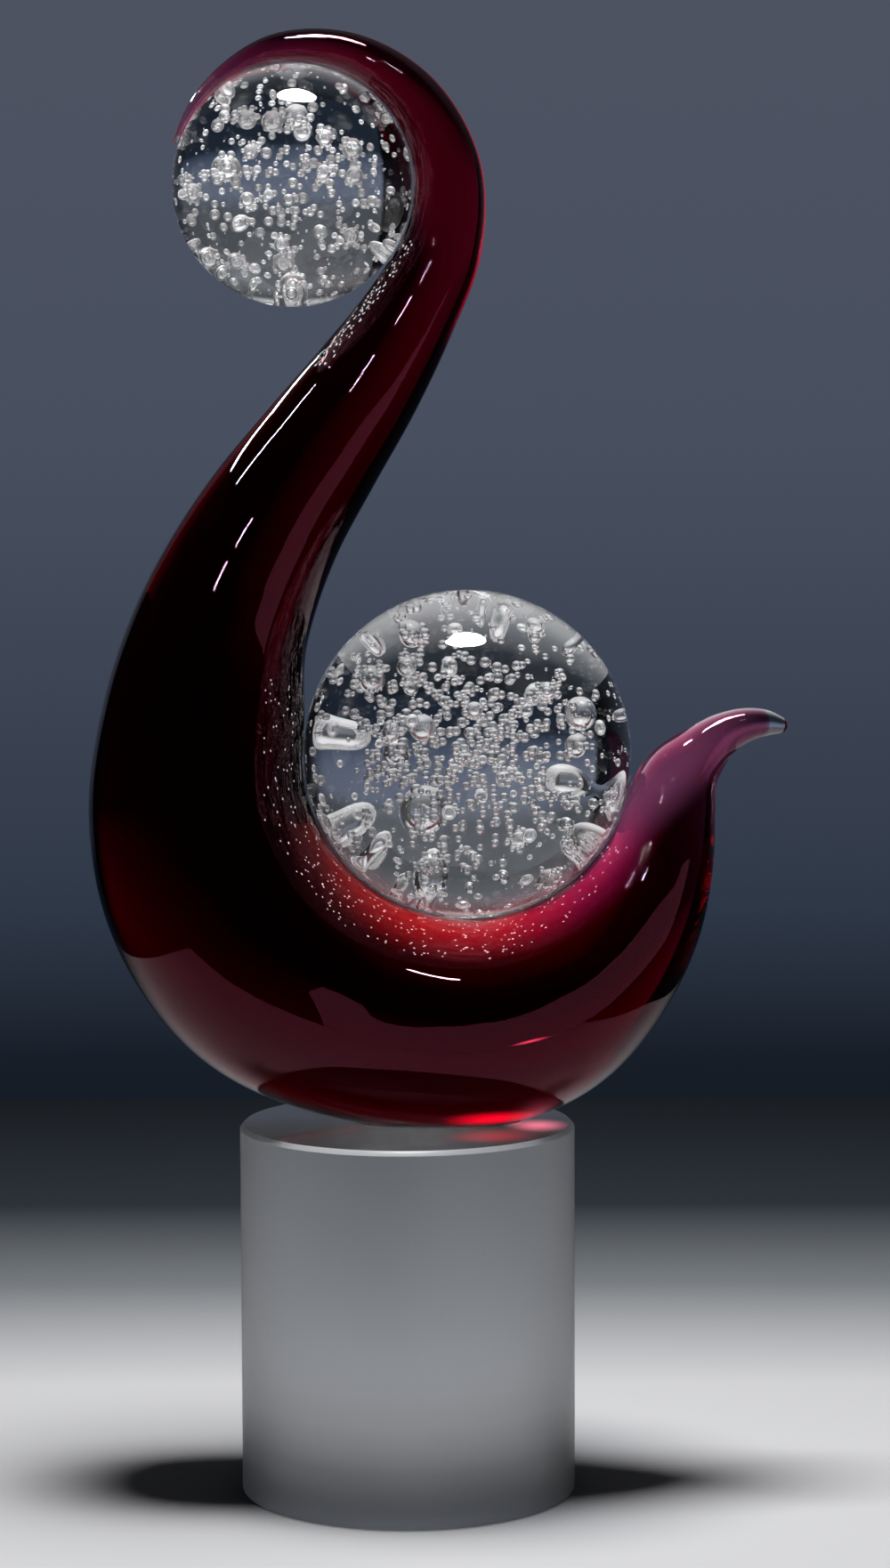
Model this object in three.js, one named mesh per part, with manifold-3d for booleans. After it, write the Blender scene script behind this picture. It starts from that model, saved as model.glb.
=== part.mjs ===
// Glass sculpture: one long bent horn of cased ruby glass, cradling two clear balls, glued to a frosted
// glass cylinder. Millimetres, +Z up, origin at the centre of the cylinder's underside. The horn bends in
// the XZ plane: its hook lies over the upper ball, its belly carries the lower ball, its tail points to +X.

import * as THREE from 'three';
import { mergeVertices } from 'three/addons/utils/BufferGeometryUtils.js';
import Module from 'manifold-3d';

// Cylinder under the sculpture
const BASE_DIAMETER = 101.6;
const BASE_HEIGHT = 112.5;
const BASE_RIM_CHAMFER = 1.4;
const BASE_UNDERSIDE_BEVEL = 0.5;

// Clear balls, and where their centres stand
const LOWER_BALL_DIAMETER = 98.6;
const UPPER_BALL_DIAMETER = 71.6;
const LOWER_BALL_OFFSET = 18.5;
const UPPER_BALL_SETBACK = 51.5;
const UPPER_BALL_RISE = 169.5;

// Horn: glass between the lower ball's seat and the ground foot, and what the grinding takes off
const BELLY_DEPTH = 62;
const FOOT_GRIND_DEPTH = 2.5;

// Horn thickness along its bend, as the radius of the ball that would just fill it.
// Hook and seat stations give the angle round the ball they touch, counted from +X, and that radius.
const HOOK_STATIONS = [
  { angle: 159, radius: 0.8 },
  { angle: 142, radius: 1.5 },
  { angle: 122, radius: 2.5 },
  { angle: 96, radius: 4.4 },
  { angle: 66, radius: 6.2 },
  { angle: 36, radius: 8.2 },
  { angle: 6, radius: 10.2 },
  { angle: -22, radius: 11.9 },
];
const SEAT_STATIONS = [
  { angle: 172, radius: 30.4 },
  { angle: 192, radius: 33.2 },
  { angle: 210, radius: 35.7 },
  { angle: 228, radius: 36.6 },
  { angle: 247, radius: 34.2 },
  { angle: 270, radius: (BELLY_DEPTH + FOOT_GRIND_DEPTH) / 2 },
  { angle: 285, radius: 30.2 },
  { angle: 300, radius: 25.6 },
  { angle: 315, radius: 21.0 },
  { angle: 330, radius: 16.8 },
  { angle: 345, radius: 13.8 },
];
// Neck stations stand on the line between the ball centres: share of that line, and offset towards +X.
const NECK_STATIONS = [
  { share: 0.735, offset: 21.6, radius: 14.1 },
  { share: 0.648, offset: 3.6, radius: 17.0 },
  { share: 0.562, offset: -16.2, radius: 19.6 },
  { share: 0.476, offset: -35.2, radius: 22.1 },
  { share: 0.386, offset: -50.9, radius: 24.6 },
  { share: 0.3, offset: -62.5, radius: 27.0 },
];
// Tail stations are measured from the lower ball's rightmost point.
const TAIL_STATIONS = [
  { across: 14.6, up: -7.6, radius: 11.4 },
  { across: 20.4, up: -0.6, radius: 8.6 },
  { across: 26.6, up: 4.8, radius: 6.6 },
  { across: 34.2, up: 8.1, radius: 5.2 },
  { across: 40.4, up: 8.8, radius: 4.0 },
  { across: 44.6, up: 8.2, radius: 2.6 },
];

// Width of the horn across the bend, against its thickness in the bend
const HOOK_TIP_FLATNESS = 2.0;
const NECK_FLATNESS = 1.0;
const BELLY_FLATNESS = 0.97;
const TAIL_TIP_FLATNESS = 1.15;

// Ruby core inside the clear casing: its share of the horn's thickness, the shares of the horn's length
// where it starts and ends, and the round spot where it reaches the ground foot
const CORE_SHARE = 0.64;
const CORE_START_SHARE = 0.045;
const CORE_END_SHARE = 0.975;
const PONTIL_SPOT_DIAMETER = 9;

// Bubbled gather inside each clear ball: its share of the ball's radius, how far apart and how deep the
// bubbles in its skin are, and the round spot where it reaches the seat, as an angle counted from +X
const GATHER_SHARE = 0.8;
const GATHER_CLEARANCE = 0.5;
const BUBBLE_SPACING = 4.8;
const BUBBLE_DEPTH = 2.4;
const GATHER_SPOT_DIAMETER = 8;
const LOWER_GATHER_SPOT_ANGLE = 262;
const UPPER_GATHER_SPOT_ANGLE = 56;

// Cured clear adhesive, and the clearance kept between pieces that touch
const ADHESIVE_THICKNESS = 0.5;
const TOUCH_GAP = 0.3;
const FOOT_ADHESIVE_MARGIN = 1.5;
const LOWER_SEAT_ADHESIVE_WIDTH = 7;
const LOWER_SEAT_ADHESIVE_START = 172;
const LOWER_SEAT_ADHESIVE_END = 352;
const UPPER_SEAT_ADHESIVE_WIDTH = 5;
const UPPER_SEAT_ADHESIVE_START = -28;
const UPPER_SEAT_ADHESIVE_END = 140;

// Facets of the modelled surfaces
const HORN_RINGS = 80;
const HORN_SIDES = 24;
const CORE_RINGS = 50;
const CORE_SIDES = 16;
const BALL_SEGMENTS = 60;
const BALL_BANDS = 18;
const SEAT_BANDS = 36;
const GATHER_FACET = 6.5;
const GATHER_STEM_SIDES = 16;
const BASE_SEGMENTS = 72;
const SEAT_FILM_SEGMENTS = 30;
const FOOT_FILM_SEGMENTS = 36;
const FOOT_PLANE_TOLERANCE = 0.01;
const SPINE_DIVISIONS = 400;

const LOWER_BALL_RADIUS = LOWER_BALL_DIAMETER / 2;
const UPPER_BALL_RADIUS = UPPER_BALL_DIAMETER / 2;
const FOOT_Z = BASE_HEIGHT + ADHESIVE_THICKNESS + TOUCH_GAP;
const SEAT_CLEARANCE = ADHESIVE_THICKNESS + 2 * TOUCH_GAP;
const LOWER_BALL_CENTRE = new THREE.Vector2(LOWER_BALL_OFFSET, FOOT_Z + BELLY_DEPTH + LOWER_BALL_RADIUS);
const UPPER_BALL_CENTRE = new THREE.Vector2(
  LOWER_BALL_OFFSET - UPPER_BALL_SETBACK,
  LOWER_BALL_CENTRE.y + UPPER_BALL_RISE,
);

const wasm = await Module();
wasm.setup();

// A closed mesh as a solid that can be joined and cut.
function solidOf(geometry) {
  const bare = geometry.clone();
  bare.deleteAttribute('normal');
  bare.deleteAttribute('uv');
  const merged = mergeVertices(bare, 1e-4);
  return new wasm.Manifold(new wasm.Mesh({
    numProp: 3,
    vertProperties: new Float32Array(merged.attributes.position.array),
    triVerts: new Uint32Array(merged.index.array),
  }));
}

function geometryOf(solid) {
  const mesh = solid.getMesh();
  const geometry = new THREE.BufferGeometry();
  geometry.setAttribute('position', new THREE.BufferAttribute(new Float32Array(mesh.vertProperties), 3));
  geometry.setIndex(new THREE.BufferAttribute(new Uint32Array(mesh.triVerts), 1));
  geometry.computeVertexNormals();
  return geometry;
}

// Stations of the whole horn, hook tip first, each as a centre in the XZ plane, a radius and a flatness.
function hornStations() {
  const polar = (centre, ballRadius, angle, radius) => {
    const reach = ballRadius + TOUCH_GAP + radius;
    const turn = THREE.MathUtils.degToRad(angle);
    return new THREE.Vector2(centre.x + reach * Math.cos(turn), centre.y + reach * Math.sin(turn));
  };
  const stations = [];
  const hookSpan = HOOK_STATIONS[0].angle - HOOK_STATIONS.at(-1).angle;
  for (const { angle, radius } of HOOK_STATIONS) {
    const share = (angle - HOOK_STATIONS.at(-1).angle) / hookSpan;
    const flatness = THREE.MathUtils.lerp(NECK_FLATNESS, HOOK_TIP_FLATNESS, share);
    stations.push({ centre: polar(UPPER_BALL_CENTRE, UPPER_BALL_RADIUS, angle, radius), radius, flatness });
  }
  const rise = new THREE.Vector2().subVectors(UPPER_BALL_CENTRE, LOWER_BALL_CENTRE);
  const side = new THREE.Vector2(rise.y, -rise.x).normalize();
  for (const { share, offset, radius } of NECK_STATIONS) {
    const centre = LOWER_BALL_CENTRE.clone().addScaledVector(rise, share).addScaledVector(side, offset);
    stations.push({ centre, radius, flatness: NECK_FLATNESS });
  }
  for (const { angle, radius } of SEAT_STATIONS) {
    const centre = polar(LOWER_BALL_CENTRE, LOWER_BALL_RADIUS, angle, radius);
    stations.push({ centre, radius, flatness: BELLY_FLATNESS });
  }
  TAIL_STATIONS.forEach(({ across, up, radius }, index) => {
    const centre = new THREE.Vector2(
      LOWER_BALL_CENTRE.x + LOWER_BALL_RADIUS + across,
      LOWER_BALL_CENTRE.y + up,
    );
    const share = (index + 1) / TAIL_STATIONS.length;
    stations.push({ centre, radius, flatness: THREE.MathUtils.lerp(BELLY_FLATNESS, TAIL_TIP_FLATNESS, share) });
  });
  return stations;
}

// Centre line, radius and flatness of the horn at any share of its length, hook tip at 0, tail tip at 1.
function hornCurves(stations) {
  const spine = new THREE.CatmullRomCurve3(
    stations.map(({ centre }) => new THREE.Vector3(centre.x, 0, centre.y)),
    false,
    'centripetal',
  );
  const last = stations.length - 1;
  const girth = new THREE.CatmullRomCurve3(
    stations.map(({ radius, flatness }, index) => new THREE.Vector3(index / last, radius, flatness)),
    false,
    'catmullrom',
    0.5,
  );
  spine.arcLengthDivisions = SPINE_DIVISIONS;
  return (share) => {
    const t = spine.getUtoTmapping(share);
    const centre = spine.getPoint(t);
    const { y: radius, z: flatness } = girth.getPoint(t);
    return { centre, radius, flatness };
  };
}

// The skin that just wraps a row of balls along the horn's centre line, closed by a point at each end.
// Share scales the balls, so that a smaller share gives the core inside the casing, and growth is added.
function hornSkin(curves, { start, end, share, growth, rings, sides }) {
  const step = 1e-3;
  const positions = [];
  const indices = [];
  const ringAt = (place) => {
    const here = curves(place);
    const before = curves(Math.max(place - step, 0));
    const after = curves(Math.min(place + step, 1));
    const along = new THREE.Vector3().subVectors(after.centre, before.centre);
    const slope = THREE.MathUtils.clamp(share * (after.radius - before.radius) / along.length(), -0.95, 0.95);
    along.normalize();
    const across = new THREE.Vector3(along.z, 0, -along.x);
    const radius = share * here.radius + growth;
    const rim = radius * Math.sqrt(1 - slope * slope);
    const hub = here.centre.clone().addScaledVector(along, -radius * slope);
    return { hub, along, across, rim, depth: rim * here.flatness, radius };
  };
  const push = (point) => positions.push(point.x, point.y, point.z);
  const first = ringAt(start);
  push(first.hub.clone().addScaledVector(first.along, -first.radius));
  for (let ring = 0; ring < rings; ring += 1) {
    const { hub, across, rim, depth } = ringAt(THREE.MathUtils.lerp(start, end, ring / (rings - 1)));
    for (let side = 0; side < sides; side += 1) {
      const turn = (2 * Math.PI * side) / sides;
      const point = hub.clone().addScaledVector(across, rim * Math.cos(turn));
      point.y += depth * Math.sin(turn);
      push(point);
    }
  }
  const final = ringAt(end);
  const endPole = 1 + rings * sides;
  push(final.hub.clone().addScaledVector(final.along, final.radius));
  const vertex = (ring, side) => 1 + ring * sides + (side % sides);
  for (let side = 0; side < sides; side += 1) {
    indices.push(0, vertex(0, side + 1), vertex(0, side));
    for (let ring = 0; ring < rings - 1; ring += 1) {
      const a = vertex(ring, side);
      const b = vertex(ring, side + 1);
      const c = vertex(ring + 1, side);
      const d = vertex(ring + 1, side + 1);
      indices.push(a, b, d, a, d, c);
    }
    indices.push(endPole, vertex(rings - 1, side), vertex(rings - 1, side + 1));
  }
  const geometry = new THREE.BufferGeometry();
  geometry.setAttribute('position', new THREE.BufferAttribute(new Float32Array(positions), 3));
  geometry.setIndex(indices);
  geometry.computeVertexNormals();
  return geometry;
}

function ballGeometry(centre, radius, bands) {
  const geometry = new THREE.SphereGeometry(radius, BALL_SEGMENTS, bands);
  geometry.translate(centre.x, 0, centre.y);
  return geometry;
}

// All that grinding the foot flat takes away: a block whose top is the foot plane.
function groundAway() {
  const size = 4 * LOWER_BALL_DIAMETER;
  const block = new THREE.BoxGeometry(size, size, size);
  block.translate(LOWER_BALL_CENTRE.x, 0, FOOT_Z - size / 2);
  return solidOf(block);
}

// The ruby core, grown by a clearance where it is used to hollow the casing.
function coreSolid(curves, growth) {
  const skin = hornSkin(curves, {
    start: CORE_START_SHARE,
    end: CORE_END_SHARE,
    share: CORE_SHARE,
    growth,
    rings: CORE_RINGS,
    sides: CORE_SIDES,
  });
  const stemRadius = PONTIL_SPOT_DIAMETER / 2 + growth;
  const stemHeight = BELLY_DEPTH / 2 + FOOT_GRIND_DEPTH;
  const stem = new THREE.CylinderGeometry(stemRadius, stemRadius, stemHeight, CORE_SIDES);
  stem.rotateX(Math.PI / 2);
  stem.translate(LOWER_BALL_CENTRE.x, 0, FOOT_Z - FOOT_GRIND_DEPTH + stemHeight / 2);
  return solidOf(skin).add(solidOf(stem));
}

// The clear casing: the horn's skin with a seat for each ball and a ground foot, hollowed for the core.
function casingGeometry(curves) {
  const skin = hornSkin(curves, { start: 0, end: 1, share: 1, growth: 0, rings: HORN_RINGS, sides: HORN_SIDES });
  const lowerSeat = solidOf(ballGeometry(LOWER_BALL_CENTRE, LOWER_BALL_RADIUS + SEAT_CLEARANCE, SEAT_BANDS));
  const upperSeat = solidOf(ballGeometry(UPPER_BALL_CENTRE, UPPER_BALL_RADIUS + SEAT_CLEARANCE, SEAT_BANDS));
  const casing = solidOf(skin)
    .subtract(lowerSeat)
    .subtract(upperSeat)
    .subtract(groundAway())
    .subtract(coreSolid(curves, TOUCH_GAP));
  return geometryOf(casing);
}

function coreGeometry(curves) {
  return geometryOf(coreSolid(curves, 0).subtract(groundAway()));
}

// A sphere of near-equal triangles. An icosahedron's edge, seen from its centre, spans atan(2).
function evenSphere(radius, edge) {
  const steps = Math.round((Math.atan(2) * radius) / edge);
  return new THREE.IcosahedronGeometry(radius, steps - 1);
}

// A sphere with bubbles pressed into its skin: each corner that has no bubble beside it yet is drawn in.
function bubbledSphere(radius) {
  const sphere = evenSphere(radius, BUBBLE_SPACING);
  sphere.deleteAttribute('normal');
  sphere.deleteAttribute('uv');
  const skin = mergeVertices(sphere, 1e-4);
  const { position } = skin.attributes;
  const besides = Array.from({ length: position.count }, () => new Set());
  for (let start = 0; start < skin.index.count; start += 3) {
    const trio = [0, 1, 2].map((step) => skin.index.getX(start + step));
    trio.forEach((corner) => trio.forEach((other) => besides[corner].add(other)));
  }
  const bubbles = new Set();
  const drawnIn = 1 - BUBBLE_DEPTH / radius;
  besides.forEach((others, corner) => {
    if ([...others].some((other) => bubbles.has(other))) {
      return;
    }
    bubbles.add(corner);
    const point = new THREE.Vector3().fromBufferAttribute(position, corner).multiplyScalar(drawnIn);
    position.setXYZ(corner, point.x, point.y, point.z);
  });
  return skin;
}

// A gather's sphere, joined by a stem to the round spot that it has under the seat.
function gatherSolid(centre, ballRadius, spotAngle, skin, growth) {
  const stemRadius = GATHER_SPOT_DIAMETER / 2 + growth;
  const stemLength = ballRadius + GATHER_CLEARANCE;
  const stem = new THREE.CylinderGeometry(stemRadius, stemRadius, stemLength, GATHER_STEM_SIDES);
  stem.translate(0, stemLength / 2, 0);
  stem.rotateX(Math.PI / 2);
  stem.rotateY(Math.PI / 2 - THREE.MathUtils.degToRad(spotAngle));
  return solidOf(skin).add(solidOf(stem)).translate([centre.x, 0, centre.y]);
}

// The bubbled gather, cut flush with the ball where its stem comes out.
function bubbleGatherGeometry(centre, ballRadius, spotAngle) {
  const skin = bubbledSphere(GATHER_SHARE * ballRadius);
  const ball = solidOf(ballGeometry(centre, ballRadius, BALL_BANDS));
  return geometryOf(gatherSolid(centre, ballRadius, spotAngle, skin, 0).intersect(ball));
}

// The ball's clear outer gather, hollowed for the bubbled one.
function clearBallGeometry(centre, ballRadius, spotAngle) {
  const hollow = evenSphere(GATHER_SHARE * ballRadius + GATHER_CLEARANCE, GATHER_FACET);
  const ball = solidOf(ballGeometry(centre, ballRadius, BALL_BANDS));
  return geometryOf(ball.subtract(gatherSolid(centre, ballRadius, spotAngle, hollow, TOUCH_GAP)));
}

function baseGeometry() {
  const radius = BASE_DIAMETER / 2;
  const profile = [
    new THREE.Vector2(0, 0),
    new THREE.Vector2(radius - BASE_UNDERSIDE_BEVEL, 0),
    new THREE.Vector2(radius, BASE_UNDERSIDE_BEVEL),
    new THREE.Vector2(radius, BASE_HEIGHT - BASE_RIM_CHAMFER),
    new THREE.Vector2(radius - BASE_RIM_CHAMFER, BASE_HEIGHT),
    new THREE.Vector2(0, BASE_HEIGHT),
  ];
  const geometry = new THREE.LatheGeometry(profile, BASE_SEGMENTS);
  geometry.rotateX(Math.PI / 2);
  return geometry;
}

// The box round the part of the casing that lies in the foot plane.
function footBounds(casing) {
  const bounds = new THREE.Box3();
  const corner = new THREE.Vector3();
  const { position } = casing.attributes;
  for (let index = 0; index < position.count; index += 1) {
    corner.fromBufferAttribute(position, index);
    if (corner.z < FOOT_Z + FOOT_PLANE_TOLERANCE) {
      bounds.expandByPoint(corner);
    }
  }
  return bounds;
}

// The film under the ground foot: an oval inside the foot's edge, lying on the cylinder's polished top.
function footAdhesiveGeometry(casing) {
  const foot = footBounds(casing);
  const centre = foot.getCenter(new THREE.Vector3());
  const size = foot.getSize(new THREE.Vector3());
  const outline = new THREE.Shape();
  outline.absellipse(
    centre.x,
    centre.y,
    size.x / 2 - FOOT_ADHESIVE_MARGIN,
    size.y / 2 - FOOT_ADHESIVE_MARGIN,
    0,
    2 * Math.PI,
  );
  return new THREE.ExtrudeGeometry(outline, {
    depth: ADHESIVE_THICKNESS,
    bevelEnabled: false,
    curveSegments: FOOT_FILM_SEGMENTS,
  });
}

// The film between a ball and its seat: a narrow band of the ring between them, bent round the ball.
function seatAdhesiveGeometry(centre, ballRadius, { startAngle, endAngle, width }) {
  const inner = ballRadius + TOUCH_GAP;
  const start = THREE.MathUtils.degToRad(startAngle);
  const end = THREE.MathUtils.degToRad(endAngle);
  const outline = new THREE.Shape();
  outline.absarc(0, 0, inner + ADHESIVE_THICKNESS, start, end, false);
  outline.absarc(0, 0, inner, end, start, true);
  const film = new THREE.ExtrudeGeometry(outline, {
    depth: width,
    bevelEnabled: false,
    curveSegments: SEAT_FILM_SEGMENTS,
  });
  film.translate(0, 0, -width / 2);
  film.rotateX(Math.PI / 2);
  film.translate(centre.x, 0, centre.y);
  return film;
}

function piece(name, geometry, colour, finish) {
  const mesh = new THREE.Mesh(geometry, new THREE.MeshStandardMaterial({ color: colour, ...finish }));
  mesh.name = name;
  return mesh;
}

const POLISHED_CLEAR = { roughness: 0.03, metalness: 0, transparent: true, opacity: 0.35 };
const BUBBLED = { roughness: 0.1, metalness: 0, transparent: true, opacity: 0.6 };
const FROSTED = { roughness: 0.6, metalness: 0 };
const RUBY = { roughness: 0.05, metalness: 0 };
const CURED_ADHESIVE = { roughness: 0.2, metalness: 0, transparent: true, opacity: 0.5 };

const curves = hornCurves(hornStations());
const sculpture = new THREE.Group();

sculpture.add(piece('base_cylinder', baseGeometry(), 0xb4b9bd, FROSTED));

const casing = casingGeometry(curves);
sculpture.add(piece('clear_casing', casing, 0xe6ecec, POLISHED_CLEAR));
const footAdhesive = piece('foot_adhesive', footAdhesiveGeometry(casing), 0xd9dfe0, CURED_ADHESIVE);
footAdhesive.position.set(0, 0, BASE_HEIGHT);
sculpture.add(footAdhesive);

sculpture.add(piece('ruby_core', coreGeometry(curves), 0x6a0714, RUBY));

const lowerPlace = [LOWER_BALL_CENTRE, LOWER_BALL_RADIUS, LOWER_GATHER_SPOT_ANGLE];
sculpture.add(piece('lower_ball', clearBallGeometry(...lowerPlace), 0xdfe6ea, POLISHED_CLEAR));
sculpture.add(piece('lower_bubble_gather', bubbleGatherGeometry(...lowerPlace), 0xeef2f4, BUBBLED));

const upperPlace = [UPPER_BALL_CENTRE, UPPER_BALL_RADIUS, UPPER_GATHER_SPOT_ANGLE];
sculpture.add(piece('upper_ball', clearBallGeometry(...upperPlace), 0xdfe6ea, POLISHED_CLEAR));
sculpture.add(piece('upper_bubble_gather', bubbleGatherGeometry(...upperPlace), 0xeef2f4, BUBBLED));

const lowerSeatAdhesive = seatAdhesiveGeometry(LOWER_BALL_CENTRE, LOWER_BALL_RADIUS, {
  startAngle: LOWER_SEAT_ADHESIVE_START,
  endAngle: LOWER_SEAT_ADHESIVE_END,
  width: LOWER_SEAT_ADHESIVE_WIDTH,
});
sculpture.add(piece('lower_seat_adhesive', lowerSeatAdhesive, 0xd9dfe0, CURED_ADHESIVE));

const upperSeatAdhesive = seatAdhesiveGeometry(UPPER_BALL_CENTRE, UPPER_BALL_RADIUS, {
  startAngle: UPPER_SEAT_ADHESIVE_START,
  endAngle: UPPER_SEAT_ADHESIVE_END,
  width: UPPER_SEAT_ADHESIVE_WIDTH,
});
sculpture.add(piece('upper_seat_adhesive', upperSeatAdhesive, 0xd9dfe0, CURED_ADHESIVE));

export default sculpture;
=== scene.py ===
# %% [markdown]
# # A studio glass sculpture
# The object is one long horn of hot-worked glass, bent into an S. Its hook lies over a small clear ball,
# its belly carries a larger one, and it stands on a frosted glass cylinder. Nearly everything on it is
# transparent, so most of the work here is optics: true surfaces, a true core of ruby glass inside the
# clear casing, true air bubbles, and a studio that has something worth refracting.
#
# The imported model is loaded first. It is the fixed frame: every piece made here stands where it says.

import math

import bpy
import numpy as np
from mathutils import Matrix, Vector


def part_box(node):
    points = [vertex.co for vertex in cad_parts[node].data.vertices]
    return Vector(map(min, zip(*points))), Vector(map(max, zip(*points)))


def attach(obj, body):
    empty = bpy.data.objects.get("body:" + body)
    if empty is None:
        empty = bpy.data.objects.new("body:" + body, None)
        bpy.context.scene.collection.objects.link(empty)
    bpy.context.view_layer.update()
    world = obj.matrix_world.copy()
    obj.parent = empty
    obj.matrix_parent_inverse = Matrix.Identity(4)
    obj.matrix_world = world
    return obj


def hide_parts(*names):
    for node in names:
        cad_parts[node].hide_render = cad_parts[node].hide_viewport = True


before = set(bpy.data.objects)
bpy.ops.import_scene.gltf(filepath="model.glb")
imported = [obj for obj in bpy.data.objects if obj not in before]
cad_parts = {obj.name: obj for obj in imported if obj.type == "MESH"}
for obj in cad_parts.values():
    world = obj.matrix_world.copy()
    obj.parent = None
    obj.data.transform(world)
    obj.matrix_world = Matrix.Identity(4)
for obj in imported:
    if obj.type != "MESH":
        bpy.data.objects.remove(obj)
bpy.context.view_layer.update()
MM = 0.001
print("CAD nodes:", ", ".join(sorted(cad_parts)))

# %% [markdown]
# Clear glass needs many more bounces than plain objects do: a ray that crosses a ball meets the ball's skin
# and several bubbles, and inside the horn it can run along the wall before it leaves. To trace how glass
# focuses the lamps' light would take thousands of samples. Instead each glass lets a share of that light
# straight through, which gives a soft bright shadow.

# %% Render settings that glass needs
GLASS_BOUNCES = 48
OTHER_BOUNCES = 32

scene = bpy.context.scene
scene.view_settings.view_transform = "Standard"
scene.cycles.max_bounces = GLASS_BOUNCES
scene.cycles.transmission_bounces = GLASS_BOUNCES
scene.cycles.glossy_bounces = OTHER_BOUNCES
scene.cycles.transparent_max_bounces = OTHER_BOUNCES
scene.cycles.caustics_reflective = False
scene.cycles.caustics_refractive = False
print("Bounces:", scene.cycles.max_bounces)

# %% [markdown]
# The camera stands where the photographer's stood: an 85 mm lens, 1.1 m in front of the cylinder's axis and
# a little above the lower ball, tilted down by five degrees.

# %% Camera
CAMERA_PLACE = Vector((0.0118, -1.1125, 0.3099))
CAMERA_TILT = math.radians(4.86)
CAMERA_ROLL = math.radians(0.20)
CAMERA_LENS = 85
CAMERA_FILM = 36
NEAREST_SEEN = 0.01
FARTHEST_SEEN = 50


def make_camera():
    data = bpy.data.cameras.new("studio_camera")
    data.lens = CAMERA_LENS
    data.sensor_width = CAMERA_FILM
    data.sensor_fit = "AUTO"
    data.clip_start = NEAREST_SEEN
    data.clip_end = FARTHEST_SEEN
    camera = bpy.data.objects.new("studio_camera", data)
    scene.collection.objects.link(camera)
    upright = Matrix.Rotation(math.pi / 2 - CAMERA_TILT, 4, "X")
    roll = Matrix.Rotation(-CAMERA_ROLL, 4, "Z")
    camera.matrix_world = Matrix.Translation(CAMERA_PLACE) @ upright @ roll
    scene.camera = camera
    return camera


print("Camera at", tuple(make_camera().location))

# %% [markdown]
# The main sizes are read from the frame once, for the shapes and for the materials that need a place.

# %% Where the balls, the foot and the cylinder stand
def ball_of(node_name):
    low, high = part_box(node_name)
    return (low + high) / 2, (high.z - low.z) / 2


LOWER_CENTRE, LOWER_RADIUS = ball_of("lower_ball")
UPPER_CENTRE, UPPER_RADIUS = ball_of("upper_ball")
BASE_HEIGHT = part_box("base_cylinder")[1].z
BASE_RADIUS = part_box("base_cylinder")[1].x
FOOT_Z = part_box("clear_casing")[0].z
SCULPTURE_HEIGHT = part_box("clear_casing")[1].z
print("Ball radii:", round(LOWER_RADIUS, 4), "and", round(UPPER_RADIUS, 4))
print("Foot at", round(FOOT_Z, 4), "and top at", round(SCULPTURE_HEIGHT, 4))

# %% [markdown]
# Shader maths reads best as ordinary expressions. `Flow` wraps one socket: `1 - mask * 2` on a Flow adds
# the Math nodes for it. It serves the geometry trees further down as well.

# %% Flow
class Flow:
    """One output socket of a node tree, with the arithmetic that this file uses."""

    def __init__(self, tree, socket):
        self.tree = tree
        self.socket = socket

    def maths(self, operation, other=0.0):
        """A Math node on this value and, where the operation takes two, another."""
        return flow(node(self.tree, "ShaderNodeMath", {"operation": operation}, {0: self, 1: other}))

    def reflected(self, operation, other):
        """A Math node with this value in second place."""
        return flow(node(self.tree, "ShaderNodeMath", {"operation": operation}, {0: other, 1: self}))

    def __add__(self, other):
        return self.maths("ADD", other)

    def __radd__(self, other):
        return self.reflected("ADD", other)

    def __sub__(self, other):
        return self.maths("SUBTRACT", other)

    def __rsub__(self, other):
        return self.reflected("SUBTRACT", other)

    def __mul__(self, other):
        return self.maths("MULTIPLY", other)

    def __rmul__(self, other):
        return self.reflected("MULTIPLY", other)

    def __truediv__(self, other):
        return self.maths("DIVIDE", other)

    def __pow__(self, other):
        return self.maths("POWER", other)


# %% [markdown]
# Every node is added by `node`, which takes the node's type, its settings and what goes into its sockets.
# `flow` makes a Flow of one of its outputs.

# %% Adding a node
def node(tree, kind, settings=None, sockets=None):
    """Adds a node: its settings first, then a value for each socket, or a Flow, socket or node to link."""
    made = tree.nodes.new(kind)
    for name, value in (settings or {}).items():
        if name == "stops":
            elements = made.color_ramp.elements
            while len(elements) < len(value):
                elements.new(0.5)
            for element, (place_on_ramp, colour) in zip(elements, value):
                element.position = place_on_ramp
                element.color = (*colour, 1.0)
        else:
            setattr(made, name, value)
    for name, value in (sockets or {}).items():
        socket = made.inputs[name]
        if isinstance(value, bpy.types.Node):
            value = value.outputs[0]
        if isinstance(value, Flow):
            value = value.socket
        if isinstance(value, bpy.types.NodeSocket):
            tree.links.new(value, socket)
        elif socket.type == "RGBA":
            socket.default_value = (*value, 1.0)
        else:
            socket.default_value = value
    return made


def flow(made, output=0):
    return Flow(made.id_data, made.outputs[output])


# %% [markdown]
# Most patterns below need the same few steps: where a point lies or which way its surface faces, one axis
# of that, a value that fades between two limits, a ramp of colours. Each is a helper that returns a Flow.

# %% Helpers for patterns
def vectors(tree, operation, first, second=None, scale=None):
    """Vector Math on one or two vectors."""
    sockets = {0: first}
    if second is not None:
        sockets[1] = second
    if scale is not None:
        sockets["Scale"] = scale
    output = "Value" if operation == "LENGTH" else "Vector"
    return flow(node(tree, "ShaderNodeVectorMath", {"operation": operation}, sockets), output)


def where(tree):
    """Where a point of the surface lies, in the object's own coordinates."""
    return flow(node(tree, "ShaderNodeTexCoord"), "Object")


def facing(tree):
    """Which way the surface faces there, in the same coordinates."""
    return flow(node(tree, "ShaderNodeTexCoord"), "Normal")


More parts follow.
